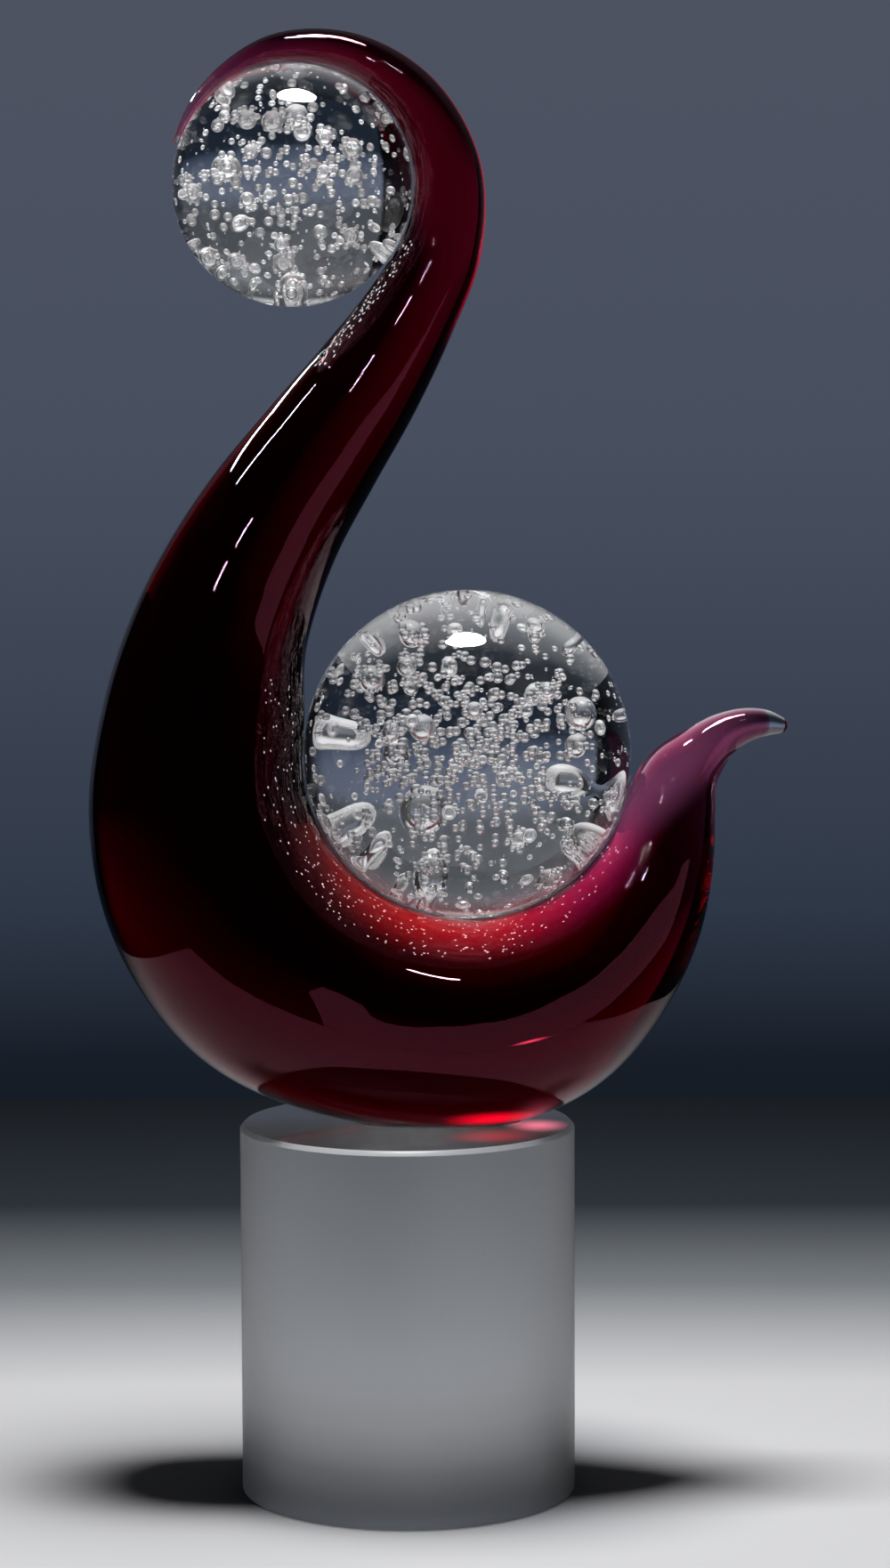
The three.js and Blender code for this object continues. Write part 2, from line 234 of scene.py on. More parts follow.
def parts_of(tree, vector):
    """A vector's x, y and z."""
    split = node(tree, "ShaderNodeSeparateXYZ", {}, {0: vector})
    return [flow(split, axis) for axis in "XYZ"]


def fade(tree, value, start, end, low=0.0, high=1.0, smooth=True):
    """Low where the value is start, high where it is end, and level beyond both."""
    kind = "SMOOTHSTEP" if smooth else "LINEAR"
    return flow(node(tree, "ShaderNodeMapRange", {"interpolation_type": kind}, {
        "Value": value, "From Min": start, "From Max": end, "To Min": low, "To Max": high,
    }))


def ramp(tree, value, stops):
    """Colours along a value from 0 to 1. Each stop is a place and a colour or a level of grey."""
    colours = [(at, tone if isinstance(tone, tuple) else (tone, tone, tone)) for at, tone in stops]
    return flow(node(tree, "ShaderNodeValToRGB", {"stops": colours}, {"Fac": value}))


def coloured(tree, colour, share):
    """A colour times a share."""
    return vectors(tree, "SCALE", colour, scale=share)


def glow_at(tree, colour, spot, reach, tilt=0.0):
    """A colour at one place on the object, fading to nothing at the reach along each axis."""
    from_spot = vectors(tree, "SUBTRACT", where(tree), spot)
    turned = node(tree, "ShaderNodeMapping", {}, {"Vector": from_spot, "Rotation": (0.0, tilt, 0.0)})
    away = vectors(tree, "LENGTH", vectors(tree, "DIVIDE", turned, reach))
    return coloured(tree, colour, fade(tree, away, 1.0, 0.0))


def noise(tree, vector, scale, detail):
    return flow(node(tree, "ShaderNodeTexNoise", {}, {"Vector": vector, "Scale": scale, "Detail": detail}))


def bump(tree, height, depth):
    return flow(node(tree, "ShaderNodeBump", {}, {"Height": height, "Distance": depth, "Strength": 1.0}))


def unevenness(tree, size, depth, detail=1.0):
    """A slow bump, for glass that was shaped by hand."""
    return bump(tree, noise(tree, where(tree), 1 / size, detail), depth)


# %% [markdown]
# ## Materials
# Each glass is one surface shader and, for the ruby, a volume that absorbs. `glass_skin` holds what all of
# them share. `glass_output` lets a tinted share of the lamps' light straight through the glass, by mixing
# in a transparent shader that only shadow rays see.

# %% Starting and ending a material
GLASS_IOR = 1.5
WHITE = (1.0, 1.0, 1.0)


def new_material(name):
    material = bpy.data.materials.new(name)
    material.use_nodes = True
    material.node_tree.nodes.clear()
    print("Material:", name)
    return material, material.node_tree


def glass_skin(tree, sockets):
    """Smooth clear glass, apart from the sockets that are given."""
    usual = {"Base Color": WHITE, "Roughness": 0.0, "IOR": GLASS_IOR, "Transmission Weight": 1.0}
    return node(tree, "ShaderNodeBsdfPrincipled", {}, {**usual, **sockets})


def glass_output(tree, surface, let_through, volume=None):
    shadow_ray = flow(node(tree, "ShaderNodeLightPath"), "Is Shadow Ray")
    passing = node(tree, "ShaderNodeBsdfTransparent", {}, {"Color": let_through})
    mixed = node(tree, "ShaderNodeMixShader", {}, {0: shadow_ray, 1: surface, 2: passing})
    sockets = {"Surface": mixed}
    if volume:
        sockets["Volume"] = volume
    node(tree, "ShaderNodeOutputMaterial", {}, sockets)


def plain_output(tree, surface):
    node(tree, "ShaderNodeOutputMaterial", {}, {"Surface": surface})


# %% [markdown]
# The casing is colourless glass that was only ever touched by fire and wet paper, so it is perfectly smooth
# but never perfectly even. A very low, slow bump makes its reflections wander as they do on the real horn.
# The light that the sculpture gathers is painted on as soft glows of emission, because they stay clean at
# few samples. Two small spots above the foot are painted red: a glow and a short bright streak. The belly
# beside the lower ball is painted red at the left and crimson at the right, and the tail has a painted
# lilac sheen along its front.

# %% Clear casing glass
HAND_WORK_SIZE = 0.03
HAND_WORK_DEPTH = 0.0002
RUBY_FLASH = (1.0, 0.2, 0.35)
CASING_LETS_THROUGH = (0.08, 0.05, 0.06)
BELLY_GLOW_SPAN = 0.34
BELLY_GLOW_UNDER = (-0.22, -0.62)
BELLY_GLOW_FRONT = (-0.05, -0.2)
# Painted light: colours of the glows and of the sheen that are painted on the casing as emission.
PAINTED_BELLY_GLOW_TONES = (
    (0.05, (0.03, 0.0, 0.0)),
    (0.36, (0.36, 0.0, 0.002)),
    (0.60, (0.38, 0.0, 0.012)),
    (0.85, (0.18, 0.003, 0.05)),
)
PAINTED_FOOT_GLOW = {
    "colour": (1.1, 0.0, 0.02),
    "spot": (0.0265, -0.0170, 0.1158),
    "reach": (0.018, 0.014, 0.0036),
}
PAINTED_FOOT_STREAK = {
    "colour": (1.0, 0.05, 0.12),
    "spot": (0.0369, -0.0296, 0.1415),
    "reach": (0.0070, 0.01, 0.0006),
    "tilt": math.radians(12.5),
}
PAINTED_TAIL_SHEEN = {
    "colour": (0.115, 0.03, 0.078),
    "spot": (0.0745, -0.010, 0.216),
    "reach": (0.056, 0.026, 0.0135),
    "tilt": math.radians(42),
}


def painted_belly_glow(tree):
    """Painted red light on the front of the belly near the lower ball, in the ball's radii from its middle.
    """
    away = vectors(tree, "SUBTRACT", where(tree), LOWER_CENTRE)
    radii = vectors(tree, "SCALE", away, scale=1 / LOWER_RADIUS)
    x, y, z = parts_of(tree, radii)
    near = fade(tree, vectors(tree, "LENGTH", radii), 1.0 + BELLY_GLOW_SPAN, 1.0)
    under = fade(tree, z, *BELLY_GLOW_UNDER)
    front = fade(tree, y, *BELLY_GLOW_FRONT)
    return coloured(tree, ramp(tree, x * 0.5 + 0.5, PAINTED_BELLY_GLOW_TONES), near * under * front)


def make_casing_glass():
    material, tree = new_material("clear_casing_glass")
    # Painted light, as emission: the belly's glow, the two red spots above the foot and the tail's lilac
    # sheen.
    total = painted_belly_glow(tree)
    for spot in (PAINTED_FOOT_GLOW, PAINTED_FOOT_STREAK, PAINTED_TAIL_SHEEN):
        total = vectors(tree, "ADD", total, glow_at(tree, **spot))
    skin = glass_skin(tree, {
        "Emission Color": total,
        "Emission Strength": 1.0,
        "Specular Tint": RUBY_FLASH,
        "Normal": unevenness(tree, HAND_WORK_SIZE, HAND_WORK_DEPTH),
    })
    glass_output(tree, skin, CASING_LETS_THROUGH)
    return material


CASING_GLASS = make_casing_glass()

# %% [markdown]
# Ruby glass looks violet where it is thin and almost black where it is thick. One absorbing volume does
# that by itself: it takes out green fastest, blue next and red slowest. The core is melted into the casing,
# so no light bends where they meet, and its own surface has an index of 1. The gather is denser along the
# neck. A volume stays the same all through, so a tint of the surface, by height, stands for that. Light
# that runs along inside the hook and comes out red in a fine line on its outer edge is painted there, as a
# glow of emission.

# %% Ruby core glass
RUBY_DENSITY = 320.0
RUBY_PER_METRE = (52.0, 290.0, 200.0)
PAINTED_EDGE_GLOW = (0.46, 0.0, 0.02)
EDGE_GLOW_SIDEWAYS = (0.26, 0.06)
EDGE_GLOW_OUTWARD = (0.05, 0.6)
EDGE_GLOW_HEIGHTS = (0.345, 0.38)
NECK_TINTS = ((0.45, 1.0), (0.54, 0.58), (0.70, 0.58), (0.78, 0.74), (0.87, 0.86), (0.95, 1.0))
NECK_SIDE = (0.05, 0.03)


def painted_edge_glow(tree):
    """Painted glow: one along the outer ridge of the hook and the upper neck, nothing elsewhere."""
    outward, sideways, _ = parts_of(tree, facing(tree))
    height = parts_of(tree, where(tree))[2]
    ridge = fade(tree, sideways.maths("ABSOLUTE"), *EDGE_GLOW_SIDEWAYS)
    return ridge * fade(tree, outward, *EDGE_GLOW_OUTWARD) * fade(tree, height, *EDGE_GLOW_HEIGHTS)


def neck_tint(tree):
    """White, and darker along the neck, by share of the sculpture's height."""
    x, _, z = parts_of(tree, where(tree))
    tint = ramp(tree, z / SCULPTURE_HEIGHT, NECK_TINTS)
    beside = fade(tree, x, *NECK_SIDE, smooth=False)
    return coloured(tree, WHITE, 1 - (1 - tint) * beside)


def make_ruby_glass():
    material, tree = new_material("ruby_glass")
    skin = glass_skin(tree, {
        "Emission Color": coloured(tree, PAINTED_EDGE_GLOW, painted_edge_glow(tree)),
        "Emission Strength": 1.0,
        "Base Color": neck_tint(tree),
        "IOR": 1.0,
    })
    colour = tuple(1 - rate / RUBY_DENSITY for rate in RUBY_PER_METRE)
    volume = node(tree, "ShaderNodeVolumeAbsorption", {}, {"Color": colour, "Density": RUBY_DENSITY})
    glass_output(tree, skin, WHITE, volume)
    return material


RUBY_GLASS = make_ruby_glass()

# %% [markdown]
# The balls are clear crystal. Their bubbles are the same glass seen from the other side: air inside
# glass bends light by the inverse of the index, which is what gives a bubble its dark rim. A crowd of
# bubbles also passes light from one to the next until each glints white. A painted white glint stands
# for that: a lit and faintly glowing white share mixed into the air, larger in the finer bubbles of the
# upper ball. It is painted strongest towards the top of each bubble, and a little towards its underside.

# %% Ball glass and air
BALL_LETS_THROUGH = (0.52, 0.53, 0.55)
AIR_LETS_THROUGH = (0.95, 0.95, 0.95)
LOWER_GLINT = 0.04
UPPER_GLINT = 0.18
BETWEEN_BALLS = (0.26, 0.34)
TOP_SHARE = 0.55
UNDER_SHARE = 0.10
PAINTED_GLINT_CAPS = ((0.0, UNDER_SHARE), (0.05, UNDER_SHARE), (0.15, 0.0), (0.74, 0.0), (0.92, TOP_SHARE))
GLINT_TONE = (0.96, 0.96, 0.97)
GLINT_GLOW = 0.45


def make_ball_glass():
    material, tree = new_material("clear_ball_glass")
    glass_output(tree, glass_skin(tree, {}), BALL_LETS_THROUGH)
    return material


def make_bubble_air_and_glint():
    material, tree = new_material("bubble_air_and_painted_glint")
    air = node(tree, "ShaderNodeBsdfGlass", {}, {"Color": WHITE, "Roughness": 0.0, "IOR": 1 / GLASS_IOR})
    glint = node(tree, "ShaderNodeBsdfPrincipled", {}, {
        "Base Color": GLINT_TONE,
        "Roughness": 0.5,
        "Emission Color": WHITE,
        "Emission Strength": GLINT_GLOW,
    })
    height = parts_of(tree, where(tree))[2]
    upward = parts_of(tree, facing(tree))[2]
    share = fade(tree, height, *BETWEEN_BALLS, low=LOWER_GLINT, high=UPPER_GLINT, smooth=False)
    # Painted glint: a white share, most at the top of each bubble and a little at its underside.
    painted_glint_share = share + ramp(tree, upward * 0.5 + 0.5, PAINTED_GLINT_CAPS)
    both = node(tree, "ShaderNodeMixShader", {}, {0: painted_glint_share, 1: air, 2: glint})
    glass_output(tree, both, AIR_LETS_THROUGH)
    return material


def make_seed_painted_glint():
    """Bubbles too small to show more than one glint each, that glint painted on as a white glow."""
    material, tree = new_material("seed_painted_glint")
    plain_output(tree, node(tree, "ShaderNodeBsdfPrincipled", {}, {
        "Base Color": (0.9, 0.9, 0.9),
        "Roughness": 0.3,
        "Emission Color": (1.0, 0.93, 0.95),
        "Emission Strength": 1.2,
    }))
    return material


BALL_GLASS = make_ball_glass()
BUBBLE_AIR_AND_GLINT = make_bubble_air_and_glint()
SEED_PAINTED_GLINT = make_seed_painted_glint()

# %% [markdown]
# The cylinder's side is sandblasted: light goes in, but scatters, and the fine upright streaks are where
# it turned under the nozzle. The last part above the table is painted darker, as painted shade for the
# shadow that it looks into. The top face was polished afterwards, and the narrow rim chamfer was left
# satin. The belly's red light is painted on the top face at one spot, as a glow.

# %% Frosted and polished glass of the cylinder
FROST_TONE = (0.86, 0.88, 0.90)
FROST_ROUGHNESS = 0.42
FROST_ROUGHNESS_SPREAD = 0.06
FROST_DEPTH = 0.00006
FROST_PASSES = 0.86
STREAK_WIDTH = 0.0006
STREAK_HEIGHT = 0.02
STREAK_SHARE = 0.6
GRAIN_SCALE = 2600.0
PAINTED_SHADE_HEIGHT = 0.04
PAINTED_FROST_SHADES = ((0.0, 0.42), (0.42, 0.45), (0.60, 0.70), (0.77, 0.93), (1.0, 1.0))
FROSTED_LETS_THROUGH = (0.5, 0.51, 0.52)
POLISHED_LETS_THROUGH = (0.7, 0.71, 0.72)
SATIN_LETS_THROUGH = (0.6, 0.61, 0.62)
POLISH_WAVE_SIZE = 0.02
POLISH_WAVE_DEPTH = 0.00002
PAINTED_TOP_GLOW = {
    "colour": (0.80, 0.16, 0.24),
    "spot": (0.0395, -0.0080, 0.1125),
    "reach": (0.011, 0.013, 0.01),
}


def make_frosted_glass():
    material, tree = new_material("frosted_glass")
    stretched = node(tree, "ShaderNodeMapping", {}, {
        "Vector": where(tree), "Scale": (1 / STREAK_WIDTH, 1 / STREAK_WIDTH, 1 / STREAK_HEIGHT),
    })
    streaks = noise(tree, stretched, 1.0, 2.0)
    grain = noise(tree, where(tree), GRAIN_SCALE, 2.0)
    # Painted shade: the colour darkens towards the table.
    rise = parts_of(tree, where(tree))[2] / PAINTED_SHADE_HEIGHT
    frosted = glass_skin(tree, {
        "Base Color": coloured(tree, FROST_TONE, ramp(tree, rise, PAINTED_FROST_SHADES)),
        "Roughness": FROST_ROUGHNESS + FROST_ROUGHNESS_SPREAD * (streaks - 0.5),
        "Transmission Weight": FROST_PASSES,
        "Normal": bump(tree, streaks * STREAK_SHARE + grain * (1 - STREAK_SHARE), FROST_DEPTH),
    })
    glass_output(tree, frosted, FROSTED_LETS_THROUGH)
    return material


def make_polished_glass():
    material, tree = new_material("polished_glass")
    polished = glass_skin(tree, {
        # Painted light: a red glow where the belly's light falls on the top face.
        "Emission Color": glow_at(tree, **PAINTED_TOP_GLOW),
        "Emission Strength": 1.0,
        "Base Color": (0.84, 0.86, 0.88),
        "Roughness": 0.03,
        "Normal": unevenness(tree, POLISH_WAVE_SIZE, POLISH_WAVE_DEPTH),
    })
    glass_output(tree, polished, POLISHED_LETS_THROUGH)
    return material


def make_satin_glass():
    material, tree = new_material("satin_rim_glass")
    satin = glass_skin(tree, {
        "Base Color": (0.95, 0.96, 0.97),
        "Roughness": 0.3,
        "Specular IOR Level": 0.1,
        "Transmission Weight": 0.5,
    })
    glass_output(tree, satin, SATIN_LETS_THROUGH)
    return material


FROSTED_GLASS = make_frosted_glass()
POLISHED_GLASS = make_polished_glass()
SATIN_GLASS = make_satin_glass()

# %% [markdown]
# The adhesive cured clear but not quite: it is a little milky and its surface is crinkled. Both come from
# one glass of a lower index, with some roughness and a finer bump than the horn's.

# %% Adhesive
ADHESIVE_IOR = 1.45
CRINKLE_SIZE = 0.002
CRINKLE_DEPTH = 0.0003
ADHESIVE_LETS_THROUGH = (0.8, 0.82, 0.8)


def make_adhesive():
    material, tree = new_material("clear_adhesive")
    milky = glass_skin(tree, {
        "Base Color": (0.86, 0.9, 0.88),
        "Roughness": 0.18,
        "IOR": ADHESIVE_IOR,
        "Transmission Weight": 0.85,
        "Normal": unevenness(tree, CRINKLE_SIZE, CRINKLE_DEPTH, 2.0),
    })
    glass_output(tree, milky, ADHESIVE_LETS_THROUGH)
    return material


ADHESIVE = make_adhesive()

# %% [markdown]
# ## Placing a piece
# A finished piece is a plain mesh in the frame's own coordinates, riding on the one body that the
# sculpture has. `place` hangs it on that body and hides the CAD parts that it stands for. The large pieces
# are rings of points, joined by `ring_faces` and closed at each end by a point.

# %% Helpers for finished pieces
CREASE_ANGLE = math.radians(26)


def mesh_object(name, corners, faces, *materials, crease=CREASE_ANGLE):
    mesh = bpy.data.meshes.new(name)
    mesh.from_pydata([tuple(corner) for corner in corners], [], faces)
    mesh.update()
    for polygon in mesh.polygons:
        polygon.use_smooth = True
    if crease:
        mesh.set_sharp_from_angle(angle=crease)
    for material in materials:
        mesh.materials.append(material)
    made = bpy.data.objects.new(name, mesh)
    scene.collection.objects.link(made)
    return made


def ring_faces(rows, sides):
    """Faces between rings of points, and fans to the two end points that follow them."""
    faces = []
    for row in range(rows - 1):
        for side in range(sides):
            a = row * sides + side
            b = row * sides + (side + 1) % sides
            faces.append((a, b, b + sides, a + sides))
    first_end = rows * sides
    last_row = (rows - 1) * sides
    for side in range(sides):
        following = (side + 1) % sides
        faces.append((first_end, following, side))
        faces.append((first_end + 1, last_row + side, last_row + following))
    return faces


def place(piece, slot, *stands_for):
    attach(piece, "root")
    if stands_for:
        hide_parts(*stands_for)
    print(piece.name, "has", len(piece.data.polygons), "faces")


# %% [markdown]
# ## The horn
# The horn is a row of balls along a bent line, with a skin pulled tight over them: the same construction
# as in the CAD model, with the same stations, but with many more rings. Radii and distances are in
# millimetres. Stations of the hook and of the seat are given by their angle round the ball that they
# touch. Those of the neck are given by their share of the way from the lower ball's middle to the
# upper's, and by their distance beside that line. Those of the tail are given by their distance to the
# right of the lower ball and above its middle. The last number of a station is always the horn's radius
# there. Straight under the lower ball the horn is as thick as the foot's height allows and 2.5 mm more,
# which is what the grinding takes away.

# %% Stations along the horn
TOUCH_GAP = 0.3 * MM
BELLY_DEPTH = LOWER_CENTRE.z - LOWER_RADIUS - FOOT_Z
FOOT_GRIND_DEPTH = 2.5 * MM
HOOK_STATIONS = (
    (159, 0.8), (142, 1.5), (122, 2.5), (96, 4.4), (66, 6.2), (36, 8.2), (6, 10.2), (-22, 11.9),
)
NECK_STATIONS = (
    (0.735, 21.6, 14.1), (0.648, 3.6, 17.0), (0.562, -16.2, 19.6),
    (0.476, -35.2, 22.1), (0.386, -50.9, 24.6), (0.3, -62.5, 27.0),
)
SEAT_STATIONS = (
    (172, 30.4), (192, 33.2), (210, 35.7), (228, 36.6), (247, 34.2),
    (270, (BELLY_DEPTH + FOOT_GRIND_DEPTH) / 2 / MM),
    (285, 30.2), (300, 25.6), (315, 21.0), (330, 16.8), (345, 13.8),
)
TAIL_STATIONS = (
    (14.6, -7.6, 11.4), (20.4, -0.6, 8.6), (26.6, 4.8, 6.6),
    (34.2, 8.1, 5.2), (40.4, 8.8, 4.0), (44.6, 8.2, 2.6),
)
HOOK_TIP_FLATNESS = 2.0
NECK_FLATNESS = 1.0
BELLY_FLATNESS = 0.97
TAIL_TIP_FLATNESS = 1.15


def beside_ball(centre, ball_radius, angle, radius):
    reach = ball_radius + TOUCH_GAP + radius
    turn = math.radians(angle)
    return centre.x + reach * math.cos(turn), centre.z + reach * math.sin(turn)


def horn_stations():
    """Rows of x, z, radius and flatness, from the hook's tip to the tail's."""
    rows = []
    hook_end = HOOK_STATIONS[-1][0]
    hook_span = HOOK_STATIONS[0][0] - hook_end
    for angle, radius in HOOK_STATIONS:
        share = (angle - hook_end) / hook_span
        flatness = NECK_FLATNESS + (HOOK_TIP_FLATNESS - NECK_FLATNESS) * share
        x, z = beside_ball(UPPER_CENTRE, UPPER_RADIUS, angle, radius * MM)
        rows.append((x, z, radius * MM, flatness))
    rise = np.array((UPPER_CENTRE.x - LOWER_CENTRE.x, UPPER_CENTRE.z - LOWER_CENTRE.z))
    side = np.array((rise[1], -rise[0])) / np.linalg.norm(rise)
    for share, offset, radius in NECK_STATIONS:
        x, z = np.array((LOWER_CENTRE.x, LOWER_CENTRE.z)) + rise * share + side * offset * MM
        rows.append((x, z, radius * MM, NECK_FLATNESS))
    for angle, radius in SEAT_STATIONS:
        x, z = beside_ball(LOWER_CENTRE, LOWER_RADIUS, angle, radius * MM)
        rows.append((x, z, radius * MM, BELLY_FLATNESS))
    for index, (across, up, radius) in enumerate(TAIL_STATIONS):
        share = (index + 1) / len(TAIL_STATIONS)
        flatness = BELLY_FLATNESS + (TAIL_TIP_FLATNESS - BELLY_FLATNESS) * share
        x = LOWER_CENTRE.x + LOWER_RADIUS + across * MM
        rows.append((x, LOWER_CENTRE.z + up * MM, radius * MM, flatness))
    return np.array(rows)


print("Horn stations:", len(horn_stations()))

# %% [markdown]
# A smooth line through the stations is a cubic spline that passes through each of them. Its centripetal
# kind never makes a loop where stations crowd, so it carries the centre line. Its uniform kind carries the
# thickness.

# %% Splines through the stations
SPINE_DIVISIONS = 400


def spline(points, places, centripetal):
    """Values of a smooth spline through points, at places from 0 to 1."""
    rows = np.vstack((2 * points[0] - points[1], points, 2 * points[-1] - points[-2]))
    last = len(points) - 1
    scaled = np.clip(places, 0, 1) * last
    index = np.minimum(scaled.astype(int), last - 1)
    weight = (scaled - index)[:, None]
    p0, p1, p2, p3 = (rows[index + step] for step in range(4))
    if centripetal:
        spans = (np.linalg.norm(b - a, axis=1)[:, None] for a, b in ((p0, p1), (p1, p2), (p2, p3)))
        d0, d1, d2 = (span**0.5 for span in spans)
        start = ((p1 - p0) / d0 - (p2 - p0) / (d0 + d1) + (p2 - p1) / d1) * d1
        end = ((p2 - p1) / d1 - (p3 - p1) / (d1 + d2) + (p3 - p2) / d2) * d1
    else:
        start = (p2 - p0) / 2
        end = (p3 - p1) / 2
    return (
        p1
        + start * weight
        + (3 * (p2 - p1) - 2 * start - end) * weight**2
        + (2 * (p1 - p2) + start + end) * weight**3
    )


def horn_at(places):
    """Centre (x, z), radius and flatness of the horn at shares of its length."""
    rows = horn_stations()
    knots = np.linspace(0, 1, SPINE_DIVISIONS + 1)
    steps = np.linalg.norm(np.diff(spline(rows[:, :2], knots, True), axis=0), axis=1)
    lengths = np.concatenate(((0.0,), np.cumsum(steps)))
    ts = np.interp(np.clip(places, 0, 1) * lengths[-1], lengths, knots)
    girth = spline(rows[:, 2:], ts, False)
    return spline(rows[:, :2], ts, True), girth[:, 0], girth[:, 1]


print("Thickest radius:", round(max(horn_at(np.linspace(0, 1, SPINE_DIVISIONS))[1]), 4))

# %% [markdown]
# Each ring is where the skin touches one of the balls in the row. Where the horn grows thicker the ring
# leans back along the centre line, which is what keeps the skin tight. Both ends get a round cap of a few
# more rings and a pole.

# %% Rings of the skin
RING_STEP = 1e-3
STEEPEST = 0.95
CAP_RINGS = 7


def in_bend_plane(x, z):
    return np.stack((x, np.zeros(len(x)), z), axis=1)


def cap_leans(start, end):
    """How far the rings of a cap lean, from one angle to another, without both ends."""
    return np.sin(np.linspace(start, end, CAP_RINGS + 2)[1:-1])


def horn_rings(places, share, shift):
    """Hub, direction across the bend, rim and depth of each ring, caps included, and the two poles."""
    centre, radius, flatness = horn_at(places)
    before, thin, _ = horn_at(np.maximum(places - RING_STEP, 0))
    after, thick, _ = horn_at(np.minimum(places + RING_STEP, 1))
    along = after - before
    length = np.linalg.norm(along, axis=1)
    slope = np.clip(share * (thick - thin) / length, -STEEPEST, STEEPEST)
    along = along / length[:, None]
    inward = np.stack((-along[:, 1], along[:, 0]), axis=1)
    centre = centre + inward * (shift * radius)[:, None]
    radius = share * radius
    order = [(0, lean) for lean in cap_leans(math.pi / 2, math.asin(slope[0]))]
    order += list(enumerate(slope))
    order += [(-1, lean) for lean in cap_leans(math.asin(slope[-1]), -math.pi / 2)]
    picks, lean = (np.array(column) for column in zip(*order))
    centre, along, radius = centre[picks], along[picks], radius[picks]
    hub = centre - along * (radius * lean)[:, None]
    rim = radius * np.sqrt(1 - lean**2)
    tips = (centre[0] - along[0] * radius[0], centre[-1] + along[-1] * radius[-1])
    poles = [(x, 0, z) for x, z in tips]
    across = in_bend_plane(along[:, 1], -along[:, 0])
    return in_bend_plane(*hub.T), across, rim, rim * flatness[picks], poles


print("Rings in both caps:", 2 * CAP_RINGS)

# %% [markdown]
# The balls sit in shallow seats and the foot is ground flat. A boolean would leave slivers there, and on
# glass every sliver shows. So each ring is laid out for its cuts instead: on the side facing a ball,
# and on the side facing the cylinder, a strip of the ring ends exactly at the cut's edge, and the
# points of that strip are moved onto the cutting surface. The edge is then a clean line of vertices.

# %% Rings laid out for the seats and the ground foot
SEAT_GAP = 0.6 * MM
SEATS = ((LOWER_CENTRE, LOWER_RADIUS + SEAT_GAP), (UPPER_CENTRE, UPPER_RADIUS + SEAT_GAP))
NARROWEST_STRIP = math.radians(5)
WIDEST_STRIP = math.radians(80)
STRIP_SEARCH = 321


def cut_depth(points, seats, floor_z):
    """How deep points lie inside the seats' balls, or under the ground foot. Positive is inside."""
    depths = [radius - np.linalg.norm(points - np.array(centre), axis=-1) for centre, radius in seats]
    if floor_z is not None:
        depths.append(floor_z - points[..., 2])
    return np.maximum.reduce(depths) if depths else np.full(points.shape[:-1], -1.0)


def ring_points(hub, across, rim, depth, angles):
    offset = across[:, None, :] * (rim[:, None] * np.cos(angles))[..., None]
    points = hub[:, None, :] + offset
    points[..., 1] += depth[:, None] * np.sin(angles)
    return points


def strip_angles(rings, seats, floor_z, middle):
    """Half the width of each ring's strip, as an angle, on the side at the middle angle."""
    turns = np.linspace(0, WIDEST_STRIP, STRIP_SEARCH)[None, :].repeat(len(rings[0]), axis=0)
    depths = cut_depth(ring_points(*rings, middle + turns), seats, floor_z)
    width = np.full(len(depths), NARROWEST_STRIP)
    for ring, row in enumerate(depths):
        inside = np.nonzero(row > 0)[0]
        if len(inside) and inside[-1] + 1 < STRIP_SEARCH:
            last = inside[-1]
            share = row[last] / (row[last] - row[last + 1])
            edge = turns[ring, last] + share * (turns[ring, last + 1] - turns[ring, last])
            width[ring] = max(edge, NARROWEST_STRIP)
    return width


def press(points, seats, floor_z):
    """Moves points that lie inside a cut onto the cutting surface."""
    for centre, radius in seats:
        away = points - np.array(centre)
        distance = np.linalg.norm(away, axis=-1, keepdims=True)
        points = np.where(distance < radius, np.array(centre) + away * (radius / distance), points)
    if floor_z is not None:
        points[..., 2] = np.maximum(points[..., 2], floor_z)
    return points


# %% [markdown]
# The casing and the core come from one function. The ruby gather is not even inside the casing. It nearly
# fills the hook, is thinner in the neck, lies nearer the ball in the belly, and is drawn thin and lilac in
# the tail. Each row of its profile is a place along the horn, its share of the horn's radius there and its
# shift towards the inside of the bend, in radii.

# %% Casing and core
WHOLE_HORN = ((0.0, 1.0, 0.0), (1.0, 1.0, 0.0))
CORE_ENDS = (0.004, 0.99)
CORE_PROFILE = (
    (0.0, 0.93, 0.0), (0.12, 0.90, 0.0), (0.20, 0.86, 0.0), (0.28, 0.80, 0.0), (0.48, 0.76, 0.0),
    (0.58, 0.78, 0.05), (0.66, 0.80, 0.08), (0.76, 0.79, 0.09), (0.85, 0.74, 0.07), (0.93, 0.60, 0.0),
    (1.0, 0.60, 0.0),
)


def horn_mesh(name, material, ring_count, strip_steps, side_steps,
              profile=WHOLE_HORN, ends=(0.0, 1.0), seats=(), floor_z=None):
    """The horn's skin, or with a smaller profile the core inside it, as one closed mesh."""
    places = np.linspace(*ends, ring_count)
    stops, shares, shifts = zip(*profile)
    *rings, poles = horn_rings(places, np.interp(places, stops, shares), np.interp(places, stops, shifts))
    near = strip_angles(rings, seats, floor_z, 0.0)[:, None]
    far = strip_angles(rings, seats, floor_z, math.pi)[:, None]
    strip = np.linspace(-1, 1, strip_steps + 1)[None, :]
    side = np.linspace(0, 1, side_steps + 1)[None, 1:-1]
    angles = np.concatenate((
        near * strip,
        near + (math.pi - far - near) * side,
        math.pi + far * strip,
        math.pi + far + (math.pi - near - far) * side,
    ), axis=1)
    points = press(ring_points(*rings, angles), seats, floor_z)
    corners = np.concatenate((points.reshape(-1, 3), np.array(poles)))
    return mesh_object(name, corners, ring_faces(*points.shape[:2]), material)


